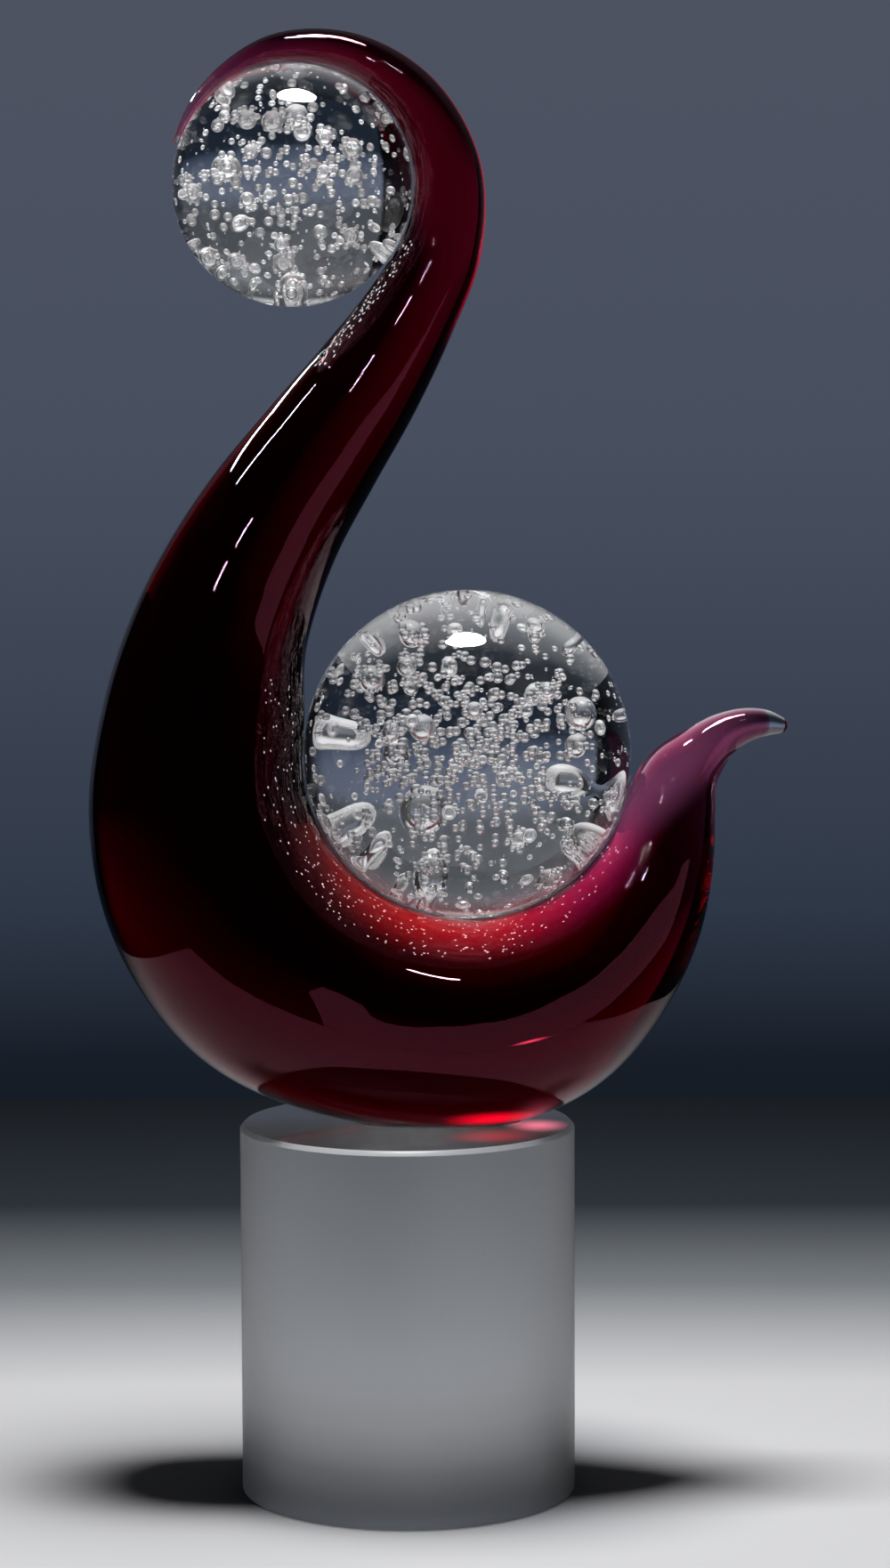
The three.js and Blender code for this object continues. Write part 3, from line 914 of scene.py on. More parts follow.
casing = horn_mesh(
    "horn_casing", CASING_GLASS, ring_count=420, strip_steps=16, side_steps=36,
    seats=SEATS, floor_z=FOOT_Z,
)
place(casing, "clear_casing_glass", "clear_casing")
core = horn_mesh(
    "horn_ruby_core", RUBY_GLASS, ring_count=320, strip_steps=8, side_steps=24,
    profile=CORE_PROFILE, ends=CORE_ENDS,
)
place(core, "ruby_glass", "ruby_core")

# %% [markdown]
# ## The balls
# A ball could be Blender's own UV sphere, but its poles would lie in the bright highlight near the top.
# This one is made as rings round the Y axis, so that one pole looks at the camera and the other away.

# %% Clear balls
BALL_BANDS = 96
BALL_SIDES = 160


def make_ball(name, centre, radius):
    tilts = np.linspace(0, math.pi, BALL_BANDS + 1)[1:-1]
    turns = np.linspace(0, 2 * math.pi, BALL_SIDES, endpoint=False)
    corners = [
        centre + radius * Vector((math.sin(t) * math.cos(p), math.cos(t), math.sin(t) * math.sin(p)))
        for t in tilts for p in turns
    ]
    corners += [centre + Vector((0, radius, 0)), centre - Vector((0, radius, 0))]
    return mesh_object(name, corners, ring_faces(len(tilts), BALL_SIDES), BALL_GLASS, crease=None)


place(make_ball("lower_clear_ball", LOWER_CENTRE, LOWER_RADIUS), "clear_ball_glass", "lower_ball")
place(make_ball("upper_clear_ball", UPPER_CENTRE, UPPER_RADIUS), "clear_ball_glass", "upper_ball")

# %% [markdown]
# ## The bubbles
# Some two thousand bubbles repeat one shape, which is work for Geometry Nodes. Their tree and the one for
# the seeds further on start the same way, draw random numbers the same way, and end by putting a ball,
# round or stretched, at each point. A carrier object holds the modifiers until the result is a plain mesh.

# %% Helpers for geometry trees
def new_socket(tree, name, kind, default=None, in_out="INPUT"):
    made = tree.interface.new_socket(name, in_out=in_out, socket_type=kind)
    if default is not None:
        made.default_value = default
    return made.identifier


def new_tree(name, inputs):
    """An empty tree, its inputs' identifiers by name, its input node, and each input as a Flow."""
    tree = bpy.data.node_groups.new(name, "GeometryNodeTree")
    new_socket(tree, "Geometry", "NodeSocketGeometry")
    sockets = {label: new_socket(tree, label, kind, default) for label, kind, default in inputs}
    new_socket(tree, "Geometry", "NodeSocketGeometry", in_out="OUTPUT")
    given = tree.nodes.new("NodeGroupInput")
    return tree, sockets, given, {label: flow(given, label) for label in sockets}


def random_value(tree, identity, seed, kind="FLOAT", low=0.0, high=1.0):
    """A random number or vector for each identity."""
    order = {"FLOAT": 1, "FLOAT_VECTOR": 0}[kind]
    made = node(tree, "FunctionNodeRandomValue", {"data_type": kind}, {"ID": identity, "Seed": seed})
    lows = [socket for socket in made.inputs if socket.name == "Min"]
    highs = [socket for socket in made.inputs if socket.name == "Max"]
    values = [socket for socket in made.outputs if socket.name == "Value"]
    lows[order].default_value = low
    highs[order].default_value = high
    return Flow(tree, values[order])


def balls_on_points(tree, points, size, stretch, towards, roundness):
    """A ball at each point, of its own size and stretched along its own direction, as real geometry."""
    shape = node(tree, "GeometryNodeMeshIcoSphere", {}, {"Radius": 1.0, "Subdivisions": roundness})
    tall = node(tree, "ShaderNodeCombineXYZ", {}, {0: size, 1: size, 2: size * stretch})
    turned = node(tree, "FunctionNodeAlignRotationToVector", {"axis": "Z"}, {"Vector": towards})
    copies = node(tree, "GeometryNodeInstanceOnPoints", {}, {
        "Points": points, "Instance": shape, "Rotation": turned, "Scale": tall,
    })
    return node(tree, "GeometryNodeRealizeInstances", {}, {"Geometry": copies})


def end_tree(tree, geometry, material):
    """Gives the geometry its material and hands it out."""
    finished = node(tree, "GeometryNodeSetMaterial", {}, {"Geometry": geometry, "Material": material})
    node(tree, "NodeGroupOutput", {}, {0: finished})
    print(tree.name, "has", len(tree.nodes), "nodes")


def plain_result(carrier, name):
    """What the carrier's modifiers made, as a plain mesh. The carrier goes."""
    evaluated = carrier.evaluated_get(bpy.context.evaluated_depsgraph_get())
    mesh = bpy.data.meshes.new_from_object(evaluated)
    mesh.name = name
    bpy.data.objects.remove(carrier)
    made = bpy.data.objects.new(name, mesh)
    scene.collection.objects.link(made)
    return made


# %% [markdown]
# Bubbles come in families: a family gathers around one spot on a radius of the ball, drawn out along that
# radius, as air does when a gather is pressed on pins and folded over. A family of one is a bubble alone.
# The families turn round the ball by the golden angle, which spreads them evenly, and a little jitter hides
# the pattern. One tree makes any of these, and a ball stacks a few of them.

# %% Where a family of bubbles lies
GOLDEN_TURN = 2.39996
JITTER = 0.3
BUBBLE_INPUTS = (
    ("Centre", "NodeSocketVector", (0.0, 0.0, 0.0)),
    ("Reach", "NodeSocketFloat", 0.03),
    ("Families", "NodeSocketInt", 10),
    ("Members", "NodeSocketInt", 1),
    ("Innermost", "NodeSocketFloat", 0.0),
    ("Outermost", "NodeSocketFloat", 1.0),
    ("Drawn Out", "NodeSocketFloat", 0.0),
    ("Spread", "NodeSocketFloat", 0.0),
    ("Smallest", "NodeSocketFloat", 0.0002),
    ("Largest", "NodeSocketFloat", 0.002),
    ("Rarity", "NodeSocketFloat", 3.0),
    ("Stretch", "NodeSocketFloat", 1.0),
    ("Filling", "NodeSocketFloat", 0.5),
    ("Roundness", "NodeSocketInt", 2),
    ("Seed", "NodeSocketInt", 1),
    ("Air", "NodeSocketMaterial", None),
)


def family_direction(tree, get, family):
    """From the ball's middle to where a family lies: the golden spiral, with some jitter."""
    height = 1 - (family + 0.5) / get["Families"] * 2
    ring = (1 - height * height) ** 0.5
    turn = family * GOLDEN_TURN + get["Seed"]
    even = node(tree, "ShaderNodeCombineXYZ", {}, {
        0: ring * turn.maths("COSINE"), 1: height, 2: ring * turn.maths("SINE"),
    })
    jitter = random_value(tree, family, get["Seed"], "FLOAT_VECTOR", (-JITTER,) * 3, (JITTER,) * 3)
    return vectors(tree, "NORMALIZE", vectors(tree, "ADD", even, jitter))


# %% [markdown]
# A bubble's size is a random number raised to the rarity, so that large bubbles are few. It lies at its
# family's spot, with one step along the radius and one aside. A bubble that would stick out of the ball is
# drawn back towards the middle, because a trapped bubble never breaks the skin.

# %% Size and spot of a bubble
def random_size(tree, get, index, seed):
    """Between the smallest and the largest, and the higher the rarity the fewer large ones."""
    rarity = random_value(tree, index, seed) ** get["Rarity"]
    return get["Smallest"] + (get["Largest"] - get["Smallest"]) * rarity


def bubble_spot(tree, get, index, family, towards, size):
    """Where a bubble lies: its family's spot, a step along the radius and a step aside, inside the ball."""
    depth = random_value(tree, family, get["Seed"] + 1) ** 0.5
    distance = get["Innermost"] + (get["Outermost"] - get["Innermost"]) * depth
    along = (random_value(tree, index, get["Seed"] + 2) - 0.5) * get["Drawn Out"]
    aside = random_value(tree, index, get["Seed"] + 3, "FLOAT_VECTOR", (-1, -1, -1), (1, 1, 1))
    spread = get["Spread"] * random_value(tree, index, get["Seed"] + 4) ** get["Filling"]
    spot = vectors(tree, "SCALE", towards, scale=distance + along)
    step = vectors(tree, "SCALE", vectors(tree, "NORMALIZE", aside), scale=spread)
    spot = vectors(tree, "ADD", spot, step)
    room = (get["Reach"] - size * get["Stretch"]) / vectors(tree, "LENGTH", spot)
    kept = vectors(tree, "SCALE", spot, scale=room.maths("MINIMUM", 1.0))
    return vectors(tree, "ADD", kept, get["Centre"])


# %% [markdown]
# The tree finds each point's family, size and spot, and puts a ball there. What the carrier already holds
# is joined to the new bubbles, so that one modifier can stack on another.

# %% The bubble tree
def make_bubble_tree():
    tree, sockets, given, get = new_tree("bubble_families", BUBBLE_INPUTS)
    index = flow(node(tree, "GeometryNodeInputIndex"))
    family = ((index + 0.5) / get["Members"]).maths("FLOOR")
    towards = family_direction(tree, get, family)
    size = random_size(tree, get, index, get["Seed"] + 5)
    spot = bubble_spot(tree, get, index, family, towards, size)
    points = node(tree, "GeometryNodePoints", {}, {
        "Count": get["Families"] * get["Members"], "Position": spot,
    })
    real = balls_on_points(tree, points, size, get["Stretch"], towards, get["Roundness"])
    smooth = node(tree, "GeometryNodeSetShadeSmooth", {}, {"Geometry": real})
    joined = node(tree, "GeometryNodeJoinGeometry", {}, {0: smooth})
    tree.links.new(given.outputs[0], joined.inputs[0])
    end_tree(tree, joined, get["Air"])
    return tree, sockets


BUBBLE_TREE, BUBBLE_SOCKETS = make_bubble_tree()

# %% [markdown]
# Each row below is one kind of bubble for a ball: single bubbles of all sizes, radial strings, bunches
# around larger bubbles, and long cavities that lie along a radius. Its first numbers are families,
# members, innermost and outermost distance, smallest and largest radius, and the seed. Sizes are in
# millimetres, distances are shares of the ball's radius.

# %% Bubbles of each ball
BUBBLE_MARGIN = 0.6 * MM
IN_BALL_RADII = ("Innermost", "Outermost", "Drawn Out", "Spread")


def kind(families, members, inner, outer, small, large, seed, drawn=0.0, spread=0.0, rarity=1.5,
         stretch=1.0, filling=0.5, roundness=2):
    return {
        "Families": families, "Members": members, "Innermost": inner, "Outermost": outer,
        "Smallest": small * MM, "Largest": large * MM, "Seed": seed, "Drawn Out": drawn, "Spread": spread,
        "Rarity": rarity, "Stretch": stretch, "Filling": filling, "Roundness": roundness,
    }


LOWER_BUBBLES = (
    kind(120, 1, 0.76, 0.97, 0.7, 1.4, 11, rarity=1.2),
    kind(30, 1, 0.72, 0.94, 1.6, 2.3, 23, roundness=3),
    kind(150, 1, 0.45, 0.92, 0.65, 1.2, 29, rarity=1.2),
    kind(26, 8, 0.42, 0.74, 0.7, 1.2, 37, drawn=0.50, spread=0.05),
    kind(16, 12, 0.36, 0.74, 0.6, 0.95, 41, drawn=0.03, spread=0.07, filling=0.12),
    kind(16, 1, 0.36, 0.74, 2.0, 2.8, 41, roundness=3),
    kind(370, 1, 0.0, 0.48, 0.6, 1.1, 53, rarity=1.0),
    kind(3, 1, 0.35, 0.5, 3.2, 4.6, 61, roundness=3),
    kind(7, 1, 0.66, 0.80, 0.8, 1.1, 67, stretch=2.6, roundness=3),
    kind(260, 1, 0.30, 0.97, 0.2, 0.45, 79),
)
UPPER_BUBBLES = (
    kind(320, 1, 0.05, 0.97, 0.6, 1.1, 71, rarity=1.0),
    kind(26, 1, 0.5, 0.93, 1.1, 1.6, 83, roundness=3),
    kind(18, 10, 0.15, 0.74, 0.5, 0.8, 97, drawn=0.03, spread=0.075, filling=0.12),
    kind(18, 1, 0.15, 0.74, 1.7, 2.3, 97, roundness=3),
    kind(260, 1, 0.3, 0.96, 0.2, 0.45, 103),
    kind(8, 1, 0.6, 0.82, 0.9, 1.4, 113, stretch=2.2, roundness=3),
)


def make_bubbles(name, centre, radius, kinds):
    """All of a ball's bubbles as one plain mesh."""
    carrier = mesh_object(name + "_carrier", [], [], crease=None)
    for number, values in enumerate(kinds):
        modifier = carrier.modifiers.new(f"kind_{number}", "NODES")
        modifier.node_group = BUBBLE_TREE
        modifier[BUBBLE_SOCKETS["Centre"]] = tuple(centre)
        modifier[BUBBLE_SOCKETS["Reach"]] = radius - BUBBLE_MARGIN
        modifier[BUBBLE_SOCKETS["Air"]] = BUBBLE_AIR_AND_GLINT
        for key, value in values.items():
            modifier[BUBBLE_SOCKETS[key]] = value * radius if key in IN_BALL_RADII else value
    return plain_result(carrier, name)


lower_bubbles = make_bubbles("lower_ball_bubbles", LOWER_CENTRE, LOWER_RADIUS, LOWER_BUBBLES)
upper_bubbles = make_bubbles("upper_ball_bubbles", UPPER_CENTRE, UPPER_RADIUS, UPPER_BUBBLES)
place(lower_bubbles, "bubbled_glass", "lower_bubble_gather")
place(upper_bubbles, "bubbled_glass", "upper_bubble_gather")

# %% [markdown]
# ## Seeds under the skin
# Along the seats the casing holds fine seeds: bubbles too small to see but for one glint each, drawn into
# short streaks along the horn. Their glints are painted on, as a white glow, and stand for the sparkle
# that the balls' bubbles throw onto the skin. A second tree scatters them over a patch of surface, at a
# density that gives the patch its number of seeds.

# %% The seed tree
ACROSS_THE_BEND = (0.0, 1.0, 0.0)
SEED_INPUTS = (
    ("Density", "NodeSocketFloat", 1.0e5),
    ("Smallest", "NodeSocketFloat", 0.0001),
    ("Largest", "NodeSocketFloat", 0.0003),
    ("Rarity", "NodeSocketFloat", 2.0),
    ("Stretch", "NodeSocketFloat", 3.0),
    ("Seed", "NodeSocketInt", 1),
    ("Glint", "NodeSocketMaterial", None),
)


def make_seed_tree():
    tree, sockets, given, get = new_tree("seed_streaks", SEED_INPUTS)
    scattered = node(tree, "GeometryNodeDistributePointsOnFaces", {}, {
        "Mesh": given.outputs[0], "Density": get["Density"], "Seed": get["Seed"],
    })
    index = flow(node(tree, "GeometryNodeInputIndex"))
    size = random_size(tree, get, index, get["Seed"] + 1)
    along = vectors(tree, "CROSS_PRODUCT", scattered.outputs["Normal"], ACROSS_THE_BEND)
    real = balls_on_points(tree, scattered, size, get["Stretch"], along, 1)
    end_tree(tree, real, get["Glint"])
    return tree, sockets


SEED_TREE, SEED_SOCKETS = make_seed_tree()

# %% [markdown]
# The patches lie just under the casing's skin: on the flank and on the belly beside the lower ball, and on
# the neck under the upper one. Each is the part of a thinner horn between two places along it and two
# angles round it, so that it follows the skin wherever that bends.

# %% Seeds beside both seats
SEED_SHARE = 0.955
SEED_STEPS = 40
SEED_PATCHES = {
    "flank_seeds": {"places": (0.485, 0.58), "angles": (200, 232), "count": 45, "largest": 0.14, "seed": 5},
    "belly_seeds": {"places": (0.58, 0.89), "angles": (192, 226), "count": 260, "largest": 0.15, "seed": 6},
    "neck_seeds": {"places": (0.235, 0.322), "angles": (316, 340), "count": 130, "largest": 0.16, "seed": 9},
}


def make_seeds(name, places, angles, count, largest, seed):
    """Seeds over a patch of the horn, the largest given in millimetres."""
    *rings, _ = horn_rings(np.linspace(*places, SEED_STEPS), SEED_SHARE, 0.0)
    rings = [part[CAP_RINGS:-CAP_RINGS] for part in rings]
    turns = np.radians(np.linspace(*angles, SEED_STEPS))[None, :].repeat(SEED_STEPS, axis=0)
    corners = ring_points(*rings, turns).reshape(-1, 3)
    firsts = [row * SEED_STEPS + turn for row in range(SEED_STEPS - 1) for turn in range(SEED_STEPS - 1)]
    faces = [(first, first + 1, first + SEED_STEPS + 1, first + SEED_STEPS) for first in firsts]
    carrier = mesh_object(name + "_carrier", corners, faces, crease=None)
    area = sum(polygon.area for polygon in carrier.data.polygons)
    modifier = carrier.modifiers.new("seeds", "NODES")
    modifier.node_group = SEED_TREE
    modifier[SEED_SOCKETS["Density"]] = count / area
    modifier[SEED_SOCKETS["Largest"]] = largest * MM
    modifier[SEED_SOCKETS["Seed"]] = seed
    modifier[SEED_SOCKETS["Glint"]] = SEED_PAINTED_GLINT
    return plain_result(carrier, name)


for patch_name, patch in SEED_PATCHES.items():
    place(make_seeds(patch_name, **patch), "clear_casing_glass")

# %% [markdown]
# ## The cylinder
# A turned profile: an eased bottom edge, a straight side and a flat chamfer to the polished top. Each
# corner of the profile is rounded a little by an extra point, as grinding leaves it.

# %% Frosted cylinder
RIM_CHAMFER = 1.4 * MM
UNDERSIDE_BEVEL = 0.5 * MM
EDGE_SOFTNESS = 0.12 * MM
EDGE_MIDDLE = 0.29
UNDERSIDE_TOP = 0.1 * MM
CYLINDER_SIDES = 256
POLISHED = 1
SATIN = 2


def soft_corner(before, corner, after):
    """Three points in place of a sharp corner of the profile, the middle one on the arc."""
    corner = Vector(corner)
    back = (Vector(before) - corner).normalized() * EDGE_SOFTNESS
    on = (Vector(after) - corner).normalized() * EDGE_SOFTNESS
    return [corner + back, corner + (back + on) * EDGE_MIDDLE, corner + on]


def make_cylinder():
    outline = [
        (0.0, 0.0),
        (BASE_RADIUS - UNDERSIDE_BEVEL, 0.0),
        (BASE_RADIUS, UNDERSIDE_BEVEL),
        (BASE_RADIUS, BASE_HEIGHT - RIM_CHAMFER),
        (BASE_RADIUS - RIM_CHAMFER, BASE_HEIGHT),
        (0.0, BASE_HEIGHT),
    ]
    profile = []
    for before, corner, after in zip(outline, outline[1:], outline[2:]):
        profile += soft_corner(before, corner, after)
    turns = np.linspace(0, 2 * math.pi, CYLINDER_SIDES, endpoint=False)
    corners = [(r * math.cos(a), r * math.sin(a), z) for r, z in profile for a in turns]
    corners += [(0, 0, 0), (0, 0, BASE_HEIGHT)]
    faces = ring_faces(len(profile), CYLINDER_SIDES)
    made = mesh_object("frosted_cylinder", corners, faces, FROSTED_GLASS, POLISHED_GLASS, SATIN_GLASS)
    for polygon in made.data.polygons:
        height = polygon.center.z
        if height > BASE_HEIGHT - EDGE_SOFTNESS or height < UNDERSIDE_TOP:
            polygon.material_index = POLISHED
        elif height > BASE_HEIGHT - RIM_CHAMFER - EDGE_SOFTNESS:
            polygon.material_index = SATIN
    return made


place(make_cylinder(), "frosted_glass", "base_cylinder")

# %% [markdown]
# ## Adhesive
# Three thin films hold the sculpture together: one under the foot and one in each seat. Their edges wander
# where the glue crept. A few sine waves of random size make that wander, because they run on smoothly and
# are the same on every run.

# %% Helpers for films
FILM_STEPS = 160
WAVES = 5
WAVE_PITCH = 3.1
WAVE_SCALE = 1.6


def wander(places, seed):
    """A smooth wobble between about -1 and 1."""
    random = np.random.default_rng(seed)
    total = np.zeros_like(places)
    for wave in range(1, WAVES + 1):
        height = random.normal() / wave
        turns = wave * WAVE_PITCH * places + random.random()
        total += height * np.sin(2 * math.pi * turns)
    return total / WAVE_SCALE


def closed_band(name, rows):
    """A closed film from rows of points around a section, with both ends filled."""
    count = len(rows[0])
    corners = [point for row in rows for point in row]
    faces = []
    for row in range(len(rows) - 1):
        for side in range(count):
            a = row * count + side
            b = row * count + (side + 1) % count
            faces.append((a, a + count, b + count, b))
    faces.append(tuple(range(count)))
    faces.append(tuple(reversed(range((len(rows) - 1) * count, len(rows) * count))))
    return mesh_object(name, corners, faces, ADHESIVE)


# %% [markdown]
# The film under the foot is an oval a little inside the ground foot's outline. The sculpture's weight
# pressed it flat, so its edge bulges, most at half its height. Each row of its section is a height above
# the cylinder and a bulge, in millimetres.

# %% Film under the foot
FOOT_INSET = 1.0 * MM
FOOT_WANDER = 0.015
FOOT_WANDER_SEED = 5
FLAT_WITHIN = 0.01 * MM
FOOT_SECTION = ((0.02, 0.0), (0.2, 0.4), (0.4, 0.5), (0.6, 0.4), (0.78, 0.0))


def foot_film():
    """A thin oval film under the ground foot, bulging a little at its edge."""
    low = np.array([v.co for v in casing.data.vertices if v.co.z < FOOT_Z + FLAT_WITHIN])
    middle = (low.min(axis=0) + low.max(axis=0)) / 2
    reach = (low.max(axis=0) - low.min(axis=0)) / 2 - FOOT_INSET
    turns = np.linspace(0, 2 * math.pi, FILM_STEPS, endpoint=False)
    wobble = 1 + FOOT_WANDER * wander(turns / (2 * math.pi), FOOT_WANDER_SEED)
    rows = []
    for level, swell in FOOT_SECTION:
        z = BASE_HEIGHT + level * MM
        rows.append([
            Vector((middle[0] + (reach[0] * w + swell * MM) * math.cos(a),
                    middle[1] + (reach[1] * w + swell * MM) * math.sin(a), z))
            for a, w in zip(turns, wobble)
        ])
    return closed_band("foot_film", rows)


place(foot_film(), "clear_adhesive", "foot_adhesive")

# %% [markdown]
# A seat's film is a band between the ball and its seat, from one angle round the ball to another. One side
# of it curves with the ball and the other with the seat, so that it fills the gap and shows only as a thin
# line. It tapers towards both ends, where the glue ran out.

# %% Films in the seats
FILM_CLEARANCE = 0.06 * MM
SEAT_WANDER = 0.3
BLUNT_END = 0.05
TAPER_LIMITS = (0.01, 0.99)
ACROSS_FILM = (-1, -0.5, 0, 0.5, 1)
LOWER_FILM = {"start": 172, "end": 352, "width": 7 * MM, "seed": 3}
UPPER_FILM = {"start": -28, "end": 140, "width": 5 * MM, "seed": 4}


def seat_film(name, centre, radius, start, end, width, seed):
    """A wandering band between the ball and its seat, from one angle round the ball to another."""
    shares = np.linspace(0, 1, FILM_STEPS)
    taper = np.sqrt(np.sin(math.pi * np.clip(shares, *TAPER_LIMITS)) + BLUNT_END)
    half = width / 2 * (1 + SEAT_WANDER * wander(shares, seed)) * taper
    inner = radius + FILM_CLEARANCE
    outer = radius + SEAT_GAP - FILM_CLEARANCE
    section = [(inner, side) for side in ACROSS_FILM] + [(outer, -side) for side in ACROSS_FILM]
    rows = []
    for share, reach in zip(shares, half):
        turn = math.radians(start + (end - start) * share)
        out = Vector((math.cos(turn), 0, math.sin(turn)))
        rows.append([
            centre + out * math.sqrt(level**2 - (side * reach)**2) + Vector((0, side * reach, 0))
            for level, side in section
        ])
    return closed_band(name, rows)


lower_film = seat_film("lower_seat_film", LOWER_CENTRE, LOWER_RADIUS, **LOWER_FILM)
place(lower_film, "clear_adhesive", "lower_seat_adhesive")
upper_film = seat_film("upper_seat_film", UPPER_CENTRE, UPPER_RADIUS, **UPPER_FILM)
place(upper_film, "clear_adhesive", "upper_seat_adhesive")

# %% [markdown]
# ## The studio
# Glass shows its surroundings, so the studio is part of the look: a pale table whose colour darkens
# towards its far edge, as painted falloff of the overhead light, a slate backdrop behind that fades to
# dark at both sides and in front, one oval softbox overhead for the bright ovals on the balls, and narrow
# strips for the thin bright lines. The table is one face, a hair below the cylinder, so that the two never
# share a plane.

# %% Table
TABLE_LEFT = -0.36
TABLE_RIGHT = 0.30
TABLE_FRONT = -0.35
TABLE_BACK = 0.70
TABLE_DROP = 0.0002
TABLE_PAINTED_FALLOFF = (
    (0.0, (0.8, 0.8, 0.82)),
    (0.18, (0.78, 0.78, 0.8)),
    (0.40, (0.25, 0.27, 0.29)),
    (0.62, (0.035, 0.045, 0.06)),
    (1.0, (0.015, 0.02, 0.028)),
)


def make_table():
    material, tree = new_material("table_top")
    # Painted falloff of the overhead light: the table's colour darkens towards the back.
    behind = parts_of(tree, where(tree))[1] / TABLE_BACK
    plain_output(tree, node(tree, "ShaderNodeBsdfPrincipled", {}, {
        "Base Color": ramp(tree, behind, TABLE_PAINTED_FALLOFF),
        "Roughness": 0.9,
        "Specular IOR Level": 0.2,
    }))
    corners = [
        (TABLE_LEFT, TABLE_FRONT, -TABLE_DROP), (TABLE_RIGHT, TABLE_FRONT, -TABLE_DROP),
        (TABLE_RIGHT, TABLE_BACK, -TABLE_DROP), (TABLE_LEFT, TABLE_BACK, -TABLE_DROP),
    ]
    table = mesh_object("table_top", corners, [(0, 1, 2, 3)], material)
    print("Stage:", table.name)


make_table()

# %% [markdown]
# The belly shows more than the table: a pale card stands in front of it, from its middle to the right. Its
# cut edge is the sharp line that runs along the belly. Only reflections see it.

# %% Reflector card
CARD_TONE = (0.62, 0.62, 0.66)
CARD_OUTLINE = (
    (-0.005, 0.0), (0.75, 0.0), (0.75, 0.18), (0.40, 0.215), (0.26, 0.236), (0.14, 0.222), (0.07, 0.18),
    (0.03, 0.13),
)


def make_card():
    material, tree = new_material("reflector_card")
    plain_output(tree, node(tree, "ShaderNodeEmission", {}, {"Color": CARD_TONE, "Strength": 1.0}))
    corners = [(x, TABLE_FRONT, z) for x, z in CARD_OUTLINE]
    card = mesh_object("reflector_card", corners, [tuple(range(len(corners)))], material)
    card.visible_camera = False
    card.visible_diffuse = False
    card.visible_transmission = False
    card.visible_shadow = False
    print("Stage:", card.name)


make_card()

# %% [markdown]
# The backdrop ends not far outside the picture, sooner at the left than at the right, and the studio beyond
# it is dark. That is what draws the black zones inside the balls and along the horn's edges. Its light on
# matt surfaces is kept low, so that the shadows on the table stay deep. A pale ceiling shows only through
# the glass, where the bubbles turn it towards the camera and glint.

# %% Backdrop
DARK_STUDIO = 0.04
FILL_SHARE = 0.4
CEILING_GLOW = 0.8
CEILING_EDGE = (0.88, 0.97)
WALL_LEFT = (-0.64, -0.60)
WALL_RIGHT = (0.95, 0.72)
WALL_FRONT = (0.1, 0.3)
WALL_TONES = (
    (0.0, (20, 24, 30)),
    (0.421, (22, 29, 39)),
    (0.443, (48, 57, 72)),
    (0.503, (72, 79, 95)),
    (0.562, (77, 83, 97)),
    (0.61, (58, 62, 68)),
    (0.75, (62, 66, 70)),
    (0.88, (84, 88, 92)),
    (1.0, (30, 34, 40)),
)


def from_srgb(levels):
    """A colour in screen levels, 0 to 255, as the linear colour that a shader takes."""
    shares = [level / 255 for level in levels]
    return tuple(s / 12.92 if s <= 0.04045 else ((s + 0.055) / 1.055) ** 2.4 for s in shares)


def make_backdrop():
    world = bpy.data.worlds.new("studio_backdrop")
    scene.world = world
    world.use_nodes = True
    tree = world.node_tree
    tree.nodes.clear()
    x, y, z = parts_of(tree, flow(node(tree, "ShaderNodeTexCoord"), "Generated"))
    wall = ramp(tree, z * 0.5 + 0.5, [(at, from_srgb(levels)) for at, levels in WALL_TONES])
    inside = fade(tree, x, *WALL_LEFT) * fade(tree, x, *WALL_RIGHT) * fade(tree, y, *WALL_FRONT)
    lit = DARK_STUDIO + (1 - DARK_STUDIO) * inside
    paths = node(tree, "ShaderNodeLightPath")
    seen = flow(paths, "Is Camera Ray")
    through = flow(paths, "Is Transmission Ray")
    shared = FILL_SHARE + (1 - FILL_SHARE) * (flow(paths, "Is Glossy Ray") + through)
    shown = node(tree, "ShaderNodeBackground", {}, {
        "Color": wall, "Strength": seen + (1 - seen) * lit * shared,
    })
    above = fade(tree, z, *CEILING_EDGE, high=CEILING_GLOW)
    ceiling = node(tree, "ShaderNodeBackground", {}, {"Color": WHITE, "Strength": above * through})
    both = node(tree, "ShaderNodeAddShader", {}, {0: shown, 1: ceiling})
    node(tree, "ShaderNodeOutputWorld", {}, {"Surface": both})
    print("World:", world.name)


make_backdrop()

# %% [markdown]
# One oval softbox lights everything from above. The thin bright lines on the horn are mirror images of
# narrow strips, and each strip stands where the camera's ray leads after it bounces off the glass. A strip
# lights nothing but the casing, which light linking does, so it adds a line and no haze.

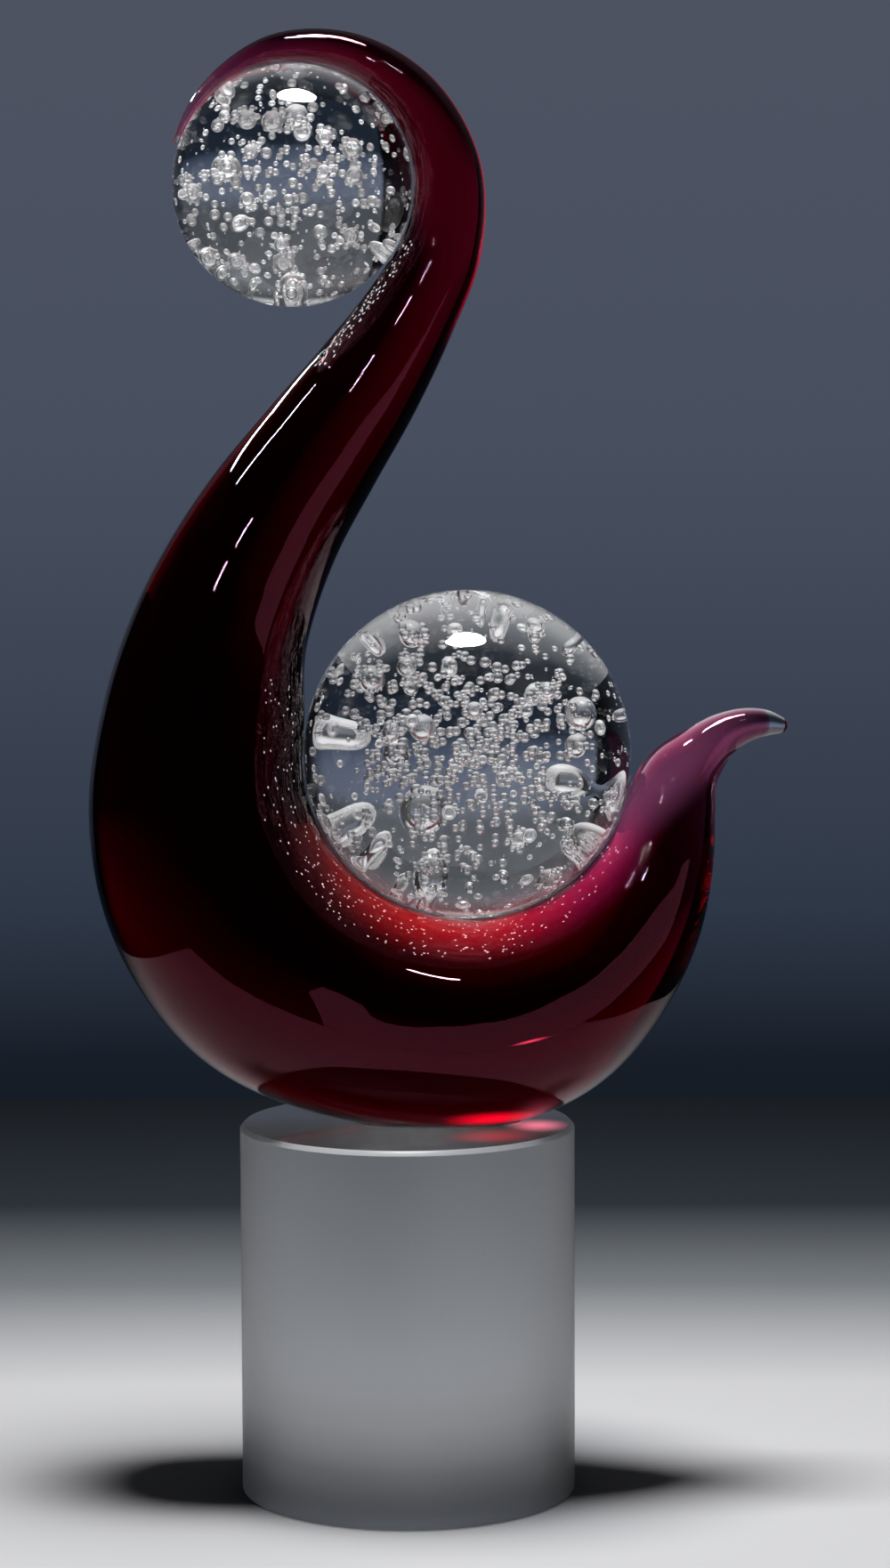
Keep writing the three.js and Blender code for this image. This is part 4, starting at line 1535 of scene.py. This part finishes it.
# %% Lamps
OVERHEAD_PLACE = (0.008, -0.024, 1.05)
OVERHEAD_WIDTH = 0.30
OVERHEAD_DEPTH = 0.20
OVERHEAD_POWER = 9.8
STRIP_RADIANCE = 350.0
STRIP_COLOUR = (0.35, 1.0, 0.75)
STRIPS = {
    "neck_strip": {"start": (-0.86, -0.15, 1.16), "end": (-0.97, -0.16, 1.05), "width": 0.03},
    "neck_second_strip": {"start": (-0.583, 0.872, 0.834), "end": (-0.896, 0.409, 0.965), "width": 0.014},
    "middle_dash_strip": {"start": (-0.105, -1.082, 0.764), "end": (-0.130, -1.095, 0.719), "width": 0.02},
    "shoulder_strip": {"start": (-0.372, -1.038, 0.723), "end": (-0.402, -1.040, 0.694), "width": 0.02},
    "lower_dash_strip": {"start": (-0.428, -1.037, 0.678), "end": (-0.441, -1.037, 0.661), "width": 0.02},
    "crescent_strip": {"start": (0.332, -0.651, 1.069), "end": (0.177, -0.711, 1.069), "width": 0.025},
    "hook_strip": {"start": (-0.20, -0.17, 1.05), "end": (-0.04, -0.14, 1.05), "width": 0.10},
    "tail_strip": {
        "start": (-0.055, -0.192, 0.301), "end": (-0.024, -0.185, 0.334), "width": 0.004,
        "facing_way": (0.5, -0.45, -0.75),
    },
}
LAMP_AIM = Vector((0.0, 0.0, 0.3))


def make_lamp(name, shape, size, size_y, power):
    data = bpy.data.lights.new(name, "AREA")
    data.shape = shape
    data.size = size
    data.size_y = size_y
    data.energy = power
    lamp = bpy.data.objects.new(name, data)
    lamp.visible_camera = False
    scene.collection.objects.link(lamp)
    return lamp


def make_strip(name, start, end, width, facing_way=None):
    """A narrow lamp between two points. It faces the sculpture's middle, or the way that is given."""
    start, end = Vector(start), Vector(end)
    along = (end - start).normalized()
    middle = (start + end) / 2
    back = -Vector(facing_way) if facing_way else (middle - LAMP_AIM).normalized()
    up = back.cross(along).normalized()
    back = along.cross(up)
    length = (end - start).length
    lamp = make_lamp(name, "RECTANGLE", length, width, STRIP_RADIANCE * math.pi * length * width)
    turn = Matrix((along, up, back)).transposed().to_4x4()
    lamp.matrix_world = Matrix.Translation(middle) @ turn
    lamp.data.color = STRIP_COLOUR
    lamp.visible_diffuse = False
    lamp.visible_transmission = False
    lamp.light_linking.receiver_collection = HORN_ONLY


HORN_ONLY = bpy.data.collections.new("horn_only")
HORN_ONLY.objects.link(casing)
overhead = make_lamp("overhead_softbox", "ELLIPSE", OVERHEAD_WIDTH, OVERHEAD_DEPTH, OVERHEAD_POWER)
overhead.location = OVERHEAD_PLACE
for strip_name, strip_facts in STRIPS.items():
    make_strip(strip_name, **strip_facts)
print("Lamps: overhead softbox and", len(STRIPS), "strips")
